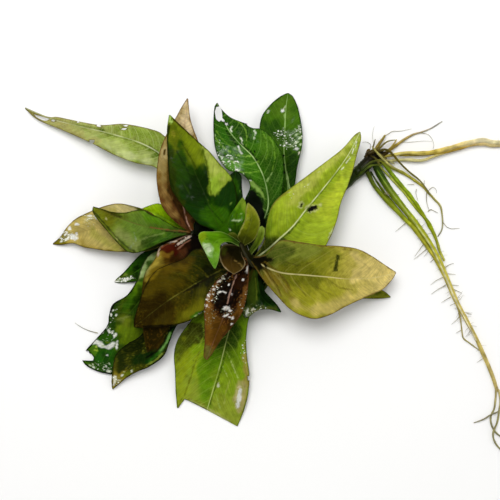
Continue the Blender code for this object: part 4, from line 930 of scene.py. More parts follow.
            (262, 308.8, 1.6, 0.7, 0, "3A3A14", 0.9), (256, 315.6, 2.2, 0.8, 0, "22300C", 0.9),
        ],
        sparkle=[(256, 312, 14, 7, 0, 0.2)],
        wet=[(256, 310, 14, 10, 0, 0.5)],
    ),
    "leaf_bottom_green": dict(
        along="0:121C06 0.2:22340A 0.42:62880E 0.7:84A61A 1:9EAA42",
        rim=("4E5E10", 0.45, 0.6), rib=("CAD67E", 0.8), veins=("A2B84A", 0.3),
        patches=[
            # painted shadow: where leaf_brown_broad shades the top of this blade
            ("3A3A0C", 0.92, 4, "180,330 190,322 202,320 206,330 202,344 188,346 178,342"),
            ("22320A", 0.7, 4, "198,322 206,322 208,338 202,342"),
            # painted shade near the top of the blade
            ("16360A", 0.9, 8, "216,330 236,322 242,336 238,352 224,352 214,344"),
            ("2E5A0C", 0.7, 8, "206,348 222,350 238,354 228,362 208,358"),
            ("98A61E", 0.85, 9, "176,344 190,350 188,380 182,406 176,404 174,366"),
            # painted shadow of leaf_brown_broad on the upper left
            ("3E420A", 0.8, 7, "174,334 186,344 186,358 177,362"),
            ("A2B42A", 0.7, 12, "188,350 204,350 202,376 190,398 184,392"),
            ("5C8E06", 0.85, 12, "204,352 220,352 216,376 208,404 196,402 198,376"),
            ("84A222", 0.7, 8, "214,376 228,372 234,392 222,406 212,406"),
            ("8E9E34", 0.7, 7, "212,398 234,398 240,416 236,424 218,412"),
            ("A8984E", 0.9, 5, "244,342 249,350 249.6,384 246,404 240,420 240,400 244,376 243,352"),
            ("B4A868", 0.8, 4, "238,380 246,382 244,404 238,418 235,402"),
            ("5E7E12", 0.6, 5, "228,348 240,350 240,372 232,376"),
            ("EEEEEA", 1, 1.2, "240,387.6 242,388.6 241.4,398 239,408 236.4,408.4 237,398 238.4,390"),
        ],
        strokes=[
            ("3E5A0C", 0.7, 0.8, "226,352 221,370 217,382 210,404"),
            ("B4C868", 0.45, 0.9, "227,352 232,364 238,378"), ("A8C05A", 0.4, 0.8, "222.4,366 228,378"),
            ("A8C05A", 0.4, 0.8, "216,394 220,408"),
            ("8AA83A", 0.4, 0.7, "224,356 210,362 199,372 192,384"),
            ("8AA83A", 0.4, 0.6, "219,374 206,380 196,392"),
            ("6E7410", 0.6, 0.8, "200,350 194,366 190,380 184,396"),
            ("5A5E12", 0.5, 0.7, "184,396 180,402 178,408"),
            ("7A6A24", 0.5, 0.6, "186,398 196,401 206,405"),
            ("6E8A2E", 0.5, 0.7, "196,336 203,344 200,352"),
            ("9AB03A", 0.5, 0.7, "203,322 204,334 199,348"),
            ("B4B46A", 0.8, 0.7, "190,400 198,404 207,408.6 218,414.6 230,421.6"),
            ("C8B88A", 0.5, 0.8, "236.4,390 235.4,400 235.6,408"),
            ("AEB85A", 0.4, 0.6, "230,380 226,392 224,404"),
        ],
        spots=[
            (218.4, 385, 1.2, 2.4, 15, "E2E6C2", 0.95), (217, 383, 1, 1, 0, "7A6A2E", 0.7),
            (239.4, 387, 2.2, 1.2, -20, "D6C89E", 0.8), (193, 361, 0.8, 0.8, 0, "4E5A10", 0.8),
            (226, 373, 0.7, 0.7, 0, "D2DC9A", 0.8),
        ],
        sparkle=[(244, 350, 3, 12, 0, 0.16)],
        holes=[
            "247.6,376 249.4,376 249,381 247.8,380",
            "177.4,410 180,405.6 184.6,399 190,401.4 198,405.4 207,410 208,414 178,415",
        ],
    ),
}

# The strands that stand for each root: picture x, y, height and radius along each, and its colours. The
# strands of the stem make the ragged crown where the roots begin.
STRANDS = {
    "root_main": [
        (
            "364,163,4.4,0.5 367.4,172,2.4,0.85 375,186.6,1.7,0.95 385.6,199,1.6,1 395,208.5,1.6,1 "
            "403,217,1.6,1 413,227,1.4,0.95 421,238,1.2,0.85 428.5,248.5,1,0.8 436,260,1,0.75 "
            "444,275,0.9,0.7 454,298,0.9,0.65 464,317,0.8,0.6 475,337,0.8,0.55 484,358,0.7,0.5 "
            "491,374,0.7,0.5 496,389,0.6,0.45",
            "0:2E3A14 0.1:5E6E1E 0.25:96A42A 0.42:BEB844 0.7:CCB85A 1:CCB86E",
        ),
        (
            "373,160,4,1.1 378.6,172,2.6,1.35 387,186,2.2,1.4 395.5,198,2.2,1.4 404,208.5,2.1,1.3 "
            "412.5,219,1.8,1.2 420.5,229.5,1.6,1.1 427.5,239.5,1.4,1 434,249.5,1.3,0.9 440.5,262,1.2,0.85 "
            "447,277,1.1,0.8 456.5,300,1,0.75 466.5,319,0.95,0.7 477.5,340,0.9,0.65 486.5,360,0.8,0.6 "
            "493,376,0.75,0.55 498,391,0.65,0.5",
            "0:141E0A 0.08:344E10 0.2:84981E 0.4:BCBC3C 0.6:D2C062 1:D4BE78",
        ),
        # A thin pale strand laid between the two main strands: a painted highlight along the bundle.
        (
            "377,170,4,0.25 385,183,3.6,0.35 394,196,3.5,0.35 403,207.5,3.3,0.35 412,219,2.9,0.35 "
            "420,230,2.5,0.35 429,243,2.1,0.35 438,260,1.9,0.35 446,278,1.7,0.35 455,299,1.5,0.35 "
            "465,318.5,1.4,0.3 476,340,1.3,0.3",
            "0:5A7A2A 0.3:B2BE5A 0.6:E2DCA4 1:E6DAB0",
        ),
        (
            "371,172,1,0.3 381,188,0.9,0.45 391,201,0.9,0.5 400,212,0.9,0.5 409,223,0.8,0.45 "
            "418,234,0.7,0.4",
            "0:2E440C 1:98A422",
        ),
    ],
    "root_fork_left": [
        (
            "496,388,0.8,0.4 495.6,397,0.45,0.42 494.3,408,0.4,0.4 491,416,0.4,0.38 491,422.7,0.4,0.38 "
            "494.3,430.7,0.4,0.36 500,436,0.4,0.34 505,439,0.3,0.28",
            "0:C2B070 0.4:A29C6A 1:8E8A62",
        ),
    ],
    "root_fork_right": [
        (
            "498.6,390,0.8,0.45 500.4,400,0.5,0.42 499,412,0.8,0.4 497,422.7,1.1,0.4 493.4,431.5,1.3,0.38 "
            "493.2,437.4,1,0.38 496,444,0.6,0.36 502,451,0.4,0.34 505,454,0.35,0.3",
            "0:CAB878 0.4:ACA66E 1:8E8A62",
        ),
    ],
    "root_end_strand": [
        (
            "474.2,422.7,0.3,0.22 483.5,419.3,0.8,0.28 491,414.5,1.3,0.28 496,412.6,0.9,0.25 "
            "499.6,410.6,0.6,0.2",
            "0:8E8A6A 1:96906A",
        ),
    ],
    "root_side_branch": [
        (
            "457,303,0.8,0.35 458.8,311.6,0.7,0.35 460.6,320,0.5,0.3 461.5,327,0.3,0.28 "
            "463.2,337.7,0.3,0.28 469,342.6,0.3,0.28 474.8,347,0.3,0.25 479,350,0.5,0.2",
            "0:B0A256 1:B8AC78",
        ),
    ],
    "root_long_tan": [
        (
            "381,157,3.4,0.5 389,155.6,3,0.6 397,154.3,3,0.7 406,152.8,3.2,0.72 416,153,3.1,0.72 "
            "427,153,2.9,0.75 435,151.5,2.8,0.9 447,149,2.6,1 457,146,2.3,1 470,142.6,2,1.05 "
            "483,140.4,1.7,1.1 491,142.2,1.5,1 500,142.6,1.3,0.9 508,143.6,1,0.7",
            "0:8E8034 0.15:D0C26A 0.4:CEB654 0.6:DCC67A 0.78:ECE0B2 1:E6D8A0",
        ),
        (
            "434,153.6,2.4,0.4 441,153,2.3,0.55 449,151.4,2.2,0.6 458,149,2,0.6 470,145.4,1.8,0.65 "
            "483,143.6,1.5,0.75 491,145.4,1.3,0.7 500,145.6,1.1,0.6 508,146,0.9,0.5",
            "0:A68C34 0.4:BE9E48 0.7:DEC888 1:DCCA8E",
        ),
        ("400,155.4,2.6,0.35 412,155.2,2.4,0.4 424,155,2.3,0.4 436,153.6,2.3,0.4", "0:8E7E30 1:8A7428"),
    ],
    "root_long_tan_branch": [
        (
            "381,164,2.2,0.45 387,162,1.5,0.5 397,160,1.6,0.6 409,160,1.8,0.62 422,160.4,2,0.6 "
            "432,157,2.2,0.55 438,155,2.3,0.5 446,152.6,2.2,0.4",
            "0:9A9650 0.4:D8D090 0.7:D0C480 1:CEBC6E",
        ),
    ],
    "root_upper_thin": [
        (
            "385,153,3.2,0.5 390,149.6,2.2,0.62 397,144.6,1.3,0.55 405,139,0.8,0.45 413.5,134.4,0.6,0.38 "
            "421.6,132,0.5,0.34 430,128.8,0.4,0.28 437,124.7,0.35,0.24 442,121.6,0.35,0.2",
            "0:7A6822 0.2:AC9440 0.5:B4A26A 0.85:B0AC9A 1:8A8A7A",
        ),
    ],
    "root_short": [
        (
            "373,154,4.6,0.7 377.4,146.8,3.4,0.7 380.8,141.5,2.6,0.6 383,138.4,2,0.5 384.8,135.6,1.4,0.35",
            "0:3A2E14 0.4:8A7A40 1:A08E4A",
        ),
    ],
    "root_bundle_inner": [
        (
            "378,164.6,3.6,0.4 384,171,1.8,0.45 391.6,179,0.7,0.5 403.4,191.6,0.55,0.5 "
            "410.8,201.4,0.55,0.5 418,210.8,0.6,0.5 425.6,218.8,0.85,0.7 430.4,226.8,0.85,0.75 "
            "434.3,234.7,0.85,0.72 437.2,242.5,0.75,0.65 439.6,250.7,0.8,0.6 444,260,1,0.5",
            "0:7A8634 0.2:BAC25A 0.45:A4B038 0.7:8C9C1A 1:BEBC56",
        ),
    ],
    "root_bundle_outer": [
        (
            "381,160.6,3.6,0.6 387,167.6,2,0.72 393,175.4,0.95,0.78 400.4,184.4,0.85,0.8 "
            "408.6,193.6,0.85,0.8 415.7,203,0.8,0.75 421.4,211.4,0.75,0.65 425.2,217,0.8,0.5",
            "0:6A7A24 0.25:84A024 0.7:94AA26 1:98A622",
        ),
    ],
    "root_thin_outer": [
        (
            "377,160,5,0.5 383,162.6,3.4,0.6 390,166.6,1.8,0.65 397,170,1,0.65 405,174,0.8,0.62 "
            "415.5,181,0.7,0.58 423.6,187,0.65,0.5 428.3,192.5,0.6,0.48 434.7,199.6,0.5,0.44 "
            "440.4,206.4,0.45,0.4 442.5,218.8,0.4,0.3 442,229,0.35,0.26 438,236.3,0.4,0.22",
            "0:6E7222 0.15:A2A838 0.5:B2A84A 0.75:B0AA66 1:9E9C80",
        ),
        (
            "372.6,147,5.6,0.35 376,151.4,6.8,0.42 380,155.6,6.6,0.45 384.4,160.4,5,0.45 390,165.4,3,0.45 "
            "397,169.4,1.9,0.4 404,173.4,1.5,0.3",
            "0:96904A 0.4:BAB46A 1:8E8C3A",
        ),
    ],
    "root_thin_inner": [
        (
            "378.6,151.6,5.4,0.5 384,149.6,5.6,0.5 389,151,5.2,0.48 394,155.8,4.8,0.45 401,164,3.8,0.42 "
            "409.4,172,2.2,0.38 418.6,179.3,1.7,0.32 424.7,186.4,1.6,0.28 430,194,1.1,0.22",
            "0:3A3410 0.3:5E5416 0.7:767034 1:86825A",
        ),
    ],
    "stem": [
        (
            "358,172,3.2,2.2 366,164.6,3.6,2.3 372,158.2,3.7,2.1 378,154.8,3.6,1.6",
            "0:1E2A0C 0.5:1A160A 1:0E0A06",
        ),
        ("367,158.4,3.6,1.3 368.2,154,4,1.2 368.6,150.8,4.2,0.9", "0:1E1A0C 1:4E3A1C"),
        ("369,153.6,5.2,1 374,151,5.4,0.8 380,150.4,5,0.6", "0:2E2410 1:5A4E1E"),
        ("373,163,4.4,1.2 380,161.6,3.4,1.1 385.4,159,2.8,0.8", "0:1E2A0C 1:2A220E"),
        ("380,156,3.4,1.1 385.6,153.4,3,0.9 388,152,2.8,0.5", "0:140E06 1:4A3C16"),
        (
            "358,176,4.8,0.6 366,168.4,5.6,0.6 373,165,5,0.5 381,164.6,3.6,0.45",
            "0:26340E 0.5:4E5E22 1:6E7A36",
        ),
        (
            "362,170,6,0.5 369,163.6,6.2,0.5 376,160.6,5.6,0.42 383,160,4.4,0.4",
            "0:24320E 0.6:4A5220 1:7E7E40",
        ),
        ("372.6,152,4.8,0.35 373.6,145.6,4.2,0.28 375.2,139.4,3.4,0.18", "0:3A3016 1:7E7648"),
        ("377,151,4.6,0.4 383.9,144,3.6,0.35 389,141,3.2,0.3 395,140,3,0.2", "0:5E5220 1:96905A"),
        ("386,151.6,3,0.4 391,147.7,2.6,0.42 394,143.6,2.2,0.36 396.4,139.6,1.8,0.22", "0:6E5E26 1:B4A05A"),
        ("379,153,5,0.3 384,157.6,4.4,0.3 386.6,162.6,3.4,0.3", "0:4A4016 1:8A824A"),
        ("371,156,5.8,0.35 375.6,158.6,5.6,0.35 379,163.6,4.6,0.35", "0:3A3412 1:7A7440"),
        ("384,158.6,3.6,0.4 389,161,2.6,0.4 394,163.6,1.8,0.3", "0:A8A264 1:C0BC84"),
    ],
}

# Fine root hairs by the piece that they grow on: height, radius, and picture places.
HAIRS = {
    "root_short": [(0.5, 0.12, "384.4,136.4 389,133.4 393,131.3 401,131 411.4,128.8")],
    "root_upper_thin": [
        (0.5, 0.1, "420.6,132.9 427.8,134.4 432.3,139.5 433.9,145.6 433,149"),
        (0.4, 0.08, "402,142.4 412,142 424,141 432,141.6"),
    ],
    "stem": [
        (0.6, 0.12, "369.6,150 370.6,144.6 366.5,142 362.4,142.3"),
        (0.4, 0.07, "373.6,143 372.6,137 373.4,129 375,126"),
    ],
    "root_main": [
        (2.6, 0.22, "386.6,191.6 388.6,194.4 392.4,195.6 396,194.4 399,194.8"),
        (2.9, 0.16, "384.6,193.6 388.6,194.6 393.6,194 397.6,195.8"), (0.6, 0.14, "406,222.7 395.6,231.5"),
        (0.6, 0.13, "423.5,244.2 414.8,256.2"), (0.6, 0.13, "426.7,249 414,259.4"),
        (0.6, 0.12, "429,250.6 424.3,256.2"), (0.6, 0.12, "433.5,259.4 430,262.6"),
        (0.6, 0.13, "445,267.4 449.6,264.6 453.8,263.4"), (0.6, 0.13, "447.4,273.8 455.4,274.4"),
        (0.6, 0.13, "451.4,285 458.8,285.5"), (0.6, 0.13, "454,289.5 461.5,292.8"),
        (0.6, 0.14, "445.4,285.5 438,289.4 431.3,294.2"), (0.6, 0.13, "450.7,297 441.4,302.5"),
        (0.6, 0.13, "442.7,277.4 436,280.6 430.7,284.8"), (0.6, 0.12, "455.4,303 450,305.5"),
        (0.6, 0.13, "459.4,316.4 456,320.4 451.4,324.3"), (0.6, 0.12, "461.5,330 456,333"),
        (0.6, 0.12, "466.8,313.2 471.5,314.5"), (0.6, 0.12, "483.5,358.2 476.9,362.5"),
    ],
    "root_thin_outer": [
        (0.4, 0.16, "426.7,192 426.4,198 427,203.6 428.8,209.6"),
        (0.4, 0.16, "428,211.4 430.6,209.6 434,211 438,213"),
        (0.4, 0.13, "443.4,222.7 446.6,226.7 451.4,228.7 459.4,228.3"), (0.5, 0.12, "424,185 424.3,180.5"),
        (0.4, 0.13, "428,192 429,190 433,187.3 436.3,190 436.6,193"), (0.4, 0.12, "414,184.5 407.6,184.5"),
        (0.4, 0.11, "416.4,189.3 416,194 418,200.4"),
    ],
    "leaf_lower_mottled": [(0.3, 0.15, "97.6,333 90,331 82,327.6 75,323")],
}

RANDOM_HAIRS = 46
HAIR_COLOURS = "0:9A9260 0.6:A8A48C 1:A09E90"
STEM_COLOURS = "0:140E08 0.06:100C06 0.14:22300A 0.5:26360C 0.68:161A06 1:1C1A08"
# The side shoot is painted nearly black all along: painted shade, as it lies deep under the leaves.
SIDE_SHOOT_COLOURS = "0:0C1004 1:0E1406"
STEM_STEPS = 160
SIDE_SHOOT_STEPS = 60
# The stem's share of its full radius at these steps from its rooting end.
STEM_END = ([0, 10, 22], [0.55, 0.7, 1])
STEM_SIDES = 28
STRAND_SIDES = 10
STRAND_STEP = 0.6
CAP_RINGS = 3

BLADE_THICKNESS = 0.26
EDGE_THICKNESS = 0.1
PETIOLE_THICKNESS = 0.9
STALK_REACH = 3.5
EDGE_TAPER = 0.8
RIB_HEIGHT = 0.35
RIB_HALF_WIDTH = 0.4
RIB_NARROWING = 0.55
RIB_CREST = 0.16
RIB_BED = 0.12
VEIN_GROOVE = 0.05
VEIN_PUCKER = 0.1
VEIN_SPACING = 4.2
UNDULATION = 0.35
GRID_CELL = 0.46
FEWEST_ROWS = 24
FEWEST_COLUMNS = 8
# Above 1, the columns of the grid crowd towards the midrib.
COLUMN_CROWDING = 1.25
NOISE_TABLE = 64
NOISE_LAYERS = 3

UNDER_COLOUR = "7C9A4A"
UNDER_SHARE = 0.1
UNDER_WETNESS = 0.3
PLANT_IOR = 1.4
THROUGH_SHARE = 0.3
THROUGH_TINT = (1.0, 1.0, 0.45, 1.0)
GLINT_SCALE = (1100.0, 1700.0, 1100.0)
GLINT_TURN = (0.0, 0.0, 0.7)
# The paint tables are laid on at this share, which suits the studio light. Blue falls to BLUE_SHARE of that
# as it goes from DARK_BLUE to nothing.
PAINT_SHARE = 0.87
BLUE_SHARE = 0.5
DARK_BLUE = 0.1

TABLE_HALF = 3.0
SENSOR_WIDTH = 36.0
# The sky's strength goes from "To Min" to "To Max" between these two heights of the view's direction.
SKY = {"From Min": 0.3, "From Max": 0.95, "To Min": 0.8, "To Max": 0.2}
# Name, place in metres, size and power of each lamp.
LIGHTS = [
    ("key", (-0.14, 0.37, 0.9), 0.6, 7.2),
    ("right", (0.62, 0.3, 0.75), 0.6, 1.4),
    ("low", (-0.2, -0.72, 0.72), 0.7, 0.4),
    ("lamp", (0.05, 0.2, 0.8), 0.05, 0.14),
]


def points_of(text):
    """The places that a table gives as a text such as "148,147 156,152", as tuples of numbers."""
    return [tuple(float(value) for value in place.split(",")) for place in text.split()]


def curve_through(points):
    """The points of a Catmull-Rom curve through these points."""
    points = np.asarray(points, float)
    padded = np.vstack([points[0] * 2 - points[1], points, points[-1] * 2 - points[-2]])
    t = (np.arange(CURVE_STEPS_PER_SPAN) / CURVE_STEPS_PER_SPAN)[:, None]
    pieces = []
    for a, b, c, d in zip(padded, padded[1:], padded[2:], padded[3:]):
        bend = (c - a) * t + (a * 2 - b * 5 + c * 4 - d) * t**2 + (b * 3 - a - c * 3 + d) * t**3
        pieces.append(b + bend * 0.5)
    return np.vstack([*pieces, points[-1:]])


def lengths_along(curve):
    """The length of the curve up to each of its points."""
    return np.concatenate([[0.0], np.cumsum(np.linalg.norm(np.diff(curve, axis=0), axis=1))])


def evenly_spaced(curve, steps):
    """Points at equal lengths along the curve, its two ends included."""
    reached = lengths_along(curve)
    wanted = np.linspace(0, reached[-1], steps + 1)
    return np.stack([np.interp(wanted, reached, column) for column in curve.T], axis=1)


def place(x, y, z):
    """Seen plan positions and heights, in millimetres, as world points in metres."""
    shrink = 1 - z / EYE_HEIGHT
    return np.stack([CENTRE_X + x * shrink, CENTRE_Y + y * shrink, z], axis=-1) * MM


def linear(code):
    """A colour such as "3E5A14" as linear red, green and blue."""
    channels = np.array([int(code[i : i + 2], 16) / 255 for i in (0, 2, 4)])
    return np.where(channels > 0.04045, ((channels + 0.055) / 1.055) ** 2.4, channels / 12.92)


def lit_paint(colours):
    """Paint as the studio light needs it: a little darker, and less blue where there is little blue."""
    colours = colours * PAINT_SHARE
    colours[:, 2] *= BLUE_SHARE + (1 - BLUE_SHARE) * np.clip(colours[:, 2] / DARK_BLUE, 0, 1)
    return colours


def graded(share, stops):
    """The colours at these shares of a length, between stops written as share:colour."""
    places, codes = zip(*(stop.split(":") for stop in stops.split()))
    places = [float(place) for place in places]
    colours = np.array([linear(code) for code in codes])
    return np.stack([np.interp(share, places, channel) for channel in colours.T], axis=-1)


def smooth_step(value):
    """0 at 0, 1 at 1 and a smooth way between."""
    value = np.clip(value, 0, 1)
    return value * value * (3 - 2 * value)


def waves(x, y, length, seed):
    """A smooth random field of about unit size whose bumps are about this long."""
    chance = np.random.default_rng(seed)
    total = np.zeros(np.broadcast(x, y).shape)
    for layer in range(NOISE_LAYERS):
        table = chance.standard_normal((NOISE_TABLE, NOISE_TABLE))
        angle = chance.uniform(0, 2 * math.pi)
        pitch = 1 / (length * (0.75 - 0.15 * layer))
        u = (x * math.cos(angle) + y * math.sin(angle)) * pitch + chance.uniform(0, 50)
        v = (y * math.cos(angle) - x * math.sin(angle)) * pitch + chance.uniform(0, 50)
        column, row = np.floor(u).astype(int), np.floor(v).astype(int)
        s, t = smooth_step(u - column), smooth_step(v - row)
        this_row, next_row = row % NOISE_TABLE, (row + 1) % NOISE_TABLE
        here, beside = column % NOISE_TABLE, (column + 1) % NOISE_TABLE
        near = table[this_row, here] * (1 - s) + table[this_row, beside] * s
        far = table[next_row, here] * (1 - s) + table[next_row, beside] * s
        total += near * (1 - t) + far * t
    return total * 1.4 / math.sqrt(NOISE_LAYERS)


def blob(px, py, x, y, across, down, turn, seed):
    """How far each place is from a blob's middle, 1 being its wavering edge."""
    angle = math.radians(turn)
    dx, dy = px - x, py - y
    along = (dx * math.cos(angle) + dy * math.sin(angle)) / across
    over = (dy * math.cos(angle) - dx * math.sin(angle)) / down
    size = min(across, down)
    return np.hypot(along, over) + 0.16 * waves(px, py, max(1.5, size), seed)


def stroke_distance(px, py, points):
    """Pixels to the nearest place on the line through these points."""
    nearest = np.full(px.shape, 1e9)
    for (ax, ay), (bx, by) in zip(points, points[1:]):
        lx, ly = bx - ax, by - ay
        t = np.clip(((px - ax) * lx + (py - ay) * ly) / (lx * lx + ly * ly), 0, 1)
        nearest = np.minimum(nearest, np.hypot(px - ax - t * lx, py - ay - t * ly))
    return nearest


def patch_distance(px, py, corners):
    """Pixels to a patch's outline, less than nothing inside it."""
    inside = np.zeros(px.shape, bool)
    closed = [*corners, corners[0]]
    for (ax, ay), (bx, by) in zip(closed, closed[1:]):
        if ay != by:
            crosses = (ay > py) != (by > py)
            inside ^= crosses & (px < ax + (py - ay) * (bx - ax) / (by - ay))
    return stroke_distance(px, py, closed) * np.where(inside, -1, 1)


def joint_on(shoot, height):
    """Where a shoot's axis rises past this height: the point, the radius and the direction there."""
    samples = curve_through(shoot)
    span = int(np.argmin(samples[:, 2]))
    while not samples[span, 2] <= height <= samples[span + 1, 2]:
        span += 1
    a, b = samples[span], samples[span + 1]
    here = a + (b - a) * (height - a[2]) / (b[2] - a[2])
    direction = (b - a)[:3]
    return here[:3], here[3], direction / np.linalg.norm(direction)


def leaf_grid(shoot, height, midrib, left, right, margin_lift=MARGIN_LIFT, arch=BLADE_ARCH, blunt=False):
    """The leaf's middle surface as a grid from base to tip and from its left margin to its right."""
    midrib, left, right = points_of(midrib), points_of(left), points_of(right)
    joint, radius, direction = joint_on(shoot, height)
    away = np.array(midrib[0], float) - joint
    away -= direction * away.dot(direction)
    start = joint + away / np.linalg.norm(away) * radius * STALK_DEPTH
    beside = np.array([-away[1], away[0]]) / math.hypot(away[0], away[1]) * PETIOLE_HALF_WIDTH
    tip = np.array(midrib[-1][:2], float)
    forward = tip - midrib[-2][:2]
    across = np.array([-forward[1], forward[0]]) / np.linalg.norm(forward) * TIP_HALF_WIDTH
    spine_curve = curve_through([start, *midrib])
    length = lengths_along(spine_curve)[-1]
    rows = max(FEWEST_ROWS, round(length / GRID_CELL))
    spine = evenly_spaced(spine_curve, rows)
    edges = []
    for margin, side in ((left, 1), (right, -1)):
        last = [] if blunt else [tip + across * side]
        edges.append(evenly_spaced(curve_through([start[:2] + beside * side, *margin, *last]), rows))
    widest = max(np.linalg.norm(edge - spine[:, :2], axis=1).max() for edge in edges)
    columns = max(FEWEST_COLUMNS, round(widest / GRID_CELL))
    t = np.linspace(-1, 1, 2 * columns + 1)
    w = np.sign(t) * np.abs(t) ** COLUMN_CROWDING
    u = np.linspace(0, 1, rows + 1)[:, None]
    share = np.abs(w)[None, :]
    margin = np.where(w[None, :, None] < 0, edges[0][:, None, :], edges[1][:, None, :])
    plan = spine[:, None, :2] * (1 - share[..., None]) + margin * share[..., None]
    bulge = np.maximum(0, np.sin(math.pi * u)) ** BULGE_FULLNESS
    lift = np.where(w < 0, margin_lift[0], margin_lift[1])[None, :]
    z = spine[:, None, 2] + share * lift * bulge + arch * bulge * 4 * share * (1 - share)
    half_width = np.linalg.norm(margin - spine[:, None, :2], axis=2)
    return dict(
        x=plan[..., 0],
        y=plan[..., 1],
        z=z,
        u=np.broadcast_to(u, z.shape),
        w=np.broadcast_to(w[None, :], z.shape),
        across=share * half_width,
        inward=(1 - share) * half_width,
        length=length,
        widest=widest,
        bulge=np.broadcast_to(bulge, z.shape),
    )


def vein_phase(grid, seed):
    """A count of the side veins, which leave the midrib at a slant and bend towards the tip."""
    d = grid["across"]
    along = grid["u"] * grid["length"] - 0.5 * d - 0.75 * d * d / grid["widest"]
    spacing = VEIN_SPACING * min(1.0, 0.45 + grid["widest"] / 24)
    drift = 0.3 * waves(grid["x"], grid["y"], 26, seed)
    return along / spacing + np.where(grid["w"] < 0, 0.0, 0.5) + drift + 20


def hole_distance(px, py, holes, seed):
    """Pixels to the nearest hole's edge, less than nothing inside it."""
    nearest = np.full(px.shape, 1e9)
    for number, hole in enumerate(holes):
        if isinstance(hole, str):
            edge = patch_distance(px, py, points_of(hole))
        else:
            edge = (blob(px, py, *hole, seed + number) - 1) * min(hole[2:4])
        nearest = np.minimum(nearest, edge)
    return nearest


def cut_holes(grid, holes, seed):
    """Which cells of the grid stay, with the corners along each hole moved onto its edge."""
    x, y = grid["x"], grid["y"]
    rows, columns = x.shape
    keep = np.ones((rows - 1, columns - 1), bool)
    if not holes:
        return keep

    def distance(gx, gy):
        return hole_distance((gx + PICTURE_HALF) / PIXEL, (PICTURE_HALF - gy) / PIXEL, holes, seed)

    centre_x = (x[:-1, :-1] + x[1:, :-1] + x[:-1, 1:] + x[1:, 1:]) / 4
    centre_y = (y[:-1, :-1] + y[1:, :-1] + y[:-1, 1:] + y[1:, 1:]) / 4
    keep = distance(centre_x, centre_y) > 0
    kept = np.zeros((rows, columns), int)
    gone = np.zeros((rows, columns), int)
    for cells, count in ((keep, kept), (~keep, gone)):
        for i in (0, 1):
            for j in (0, 1):
                count[i : rows - 1 + i, j : columns - 1 + j] += cells
    border = (kept > 0) & (gone > 0)
    for _ in range(3):
        here = distance(x, y)
        slope_x = (distance(x + 0.05, y) - here) / 0.05
        slope_y = (distance(x, y + 0.05) - here) / 0.05
        steep = np.maximum(0.5, slope_x**2 + slope_y**2)
        step = np.clip(here, -2, 2) / steep
        x = np.where(border, x - np.clip(step * slope_x, -0.5, 0.5), x)
        y = np.where(border, y - np.clip(step * slope_y, -0.5, 0.5), y)
    grid["x"], grid["y"] = x, y
    return keep


def strongest(px, py, zones, seed):
    """How strong the strongest of these soft-edged round zones is at each place."""
    total = np.zeros(px.shape)
    for number, (*zone, strength) in enumerate(zones):
        reach = blob(px, py, *zone, seed + number)
        total = np.maximum(total, strength * smooth_step((1.3 - reach) / 0.6))
    return total


def leaf_paint(grid, look, seed):
    """The leaf's colour at every corner of its grid, and its wetness, glints and way to the margin there."""
    px = (grid["x"] + PICTURE_HALF) / PIXEL
    py = (PICTURE_HALF - grid["y"]) / PIXEL
    colour = graded(grid["u"] + 0.02 * waves(px, py, 20, seed), look["along"])

    def lay(code, mask):
        mask = mask[..., None]
        return colour * (1 - mask) + linear(code) * mask

    if "flecks" in look:
        code, strength, size = look["flecks"]
        colour = lay(code, strength * smooth_step(waves(px, py, size, seed + 3) * 1.2 - 0.6))
    for code, strength, soft, corners in look.get("patches", ()):
        ragged = 0.3 * soft * waves(px, py, 3 + 1.2 * soft, seed + 4)
        reach = patch_distance(px, py, points_of(corners)) + ragged
        colour = lay(code, strength * smooth_step(0.5 - reach / soft))
    for number, (*zone, code, strength) in enumerate(look.get("spots", ())):
        soft = 0.14 + 0.13 * min(*zone[2:4], 9)
        reach = blob(px, py, *zone, seed + 10 + number)
        colour = lay(code, strength * smooth_step((1 + soft * 0.5 - reach) / soft))
    for code, width, strength, places in look.get("strokes", ()):
        near = stroke_distance(px, py, points_of(places)) + 0.25 * waves(px, py, 4, seed + 5)
        colour = lay(code, strength * smooth_step(1.5 - near / width))
    code, width, strength = look["rim"]
    edge = grid["inward"] + 0.15 * waves(px, py, 8, seed + 6)
    colour = lay(code, strength * smooth_step(1.4 - edge / width))
    tone = 1 + 0.045 * waves(px, py, 9, seed + 7) + 0.05 * waves(px, py, 3.4, seed + 8)
    colour = np.clip(colour * tone[..., None], 0, 1)
    glints = strongest(px, py, look.get("sparkle", ()), seed + 80)
    wet = strongest(px, py, look.get("wet", ()), seed + 60)
    wet = np.clip(wet * (0.8 + 0.3 * waves(px, py, 5, seed + 9)), 0, 1)
    margin = grid["inward"]
    if "holes" in look:
        margin = np.minimum(margin, hole_distance(px, py, look["holes"], seed) * PIXEL)
    return colour, {"Wet": wet, "Glint": glints, "Margin": margin}


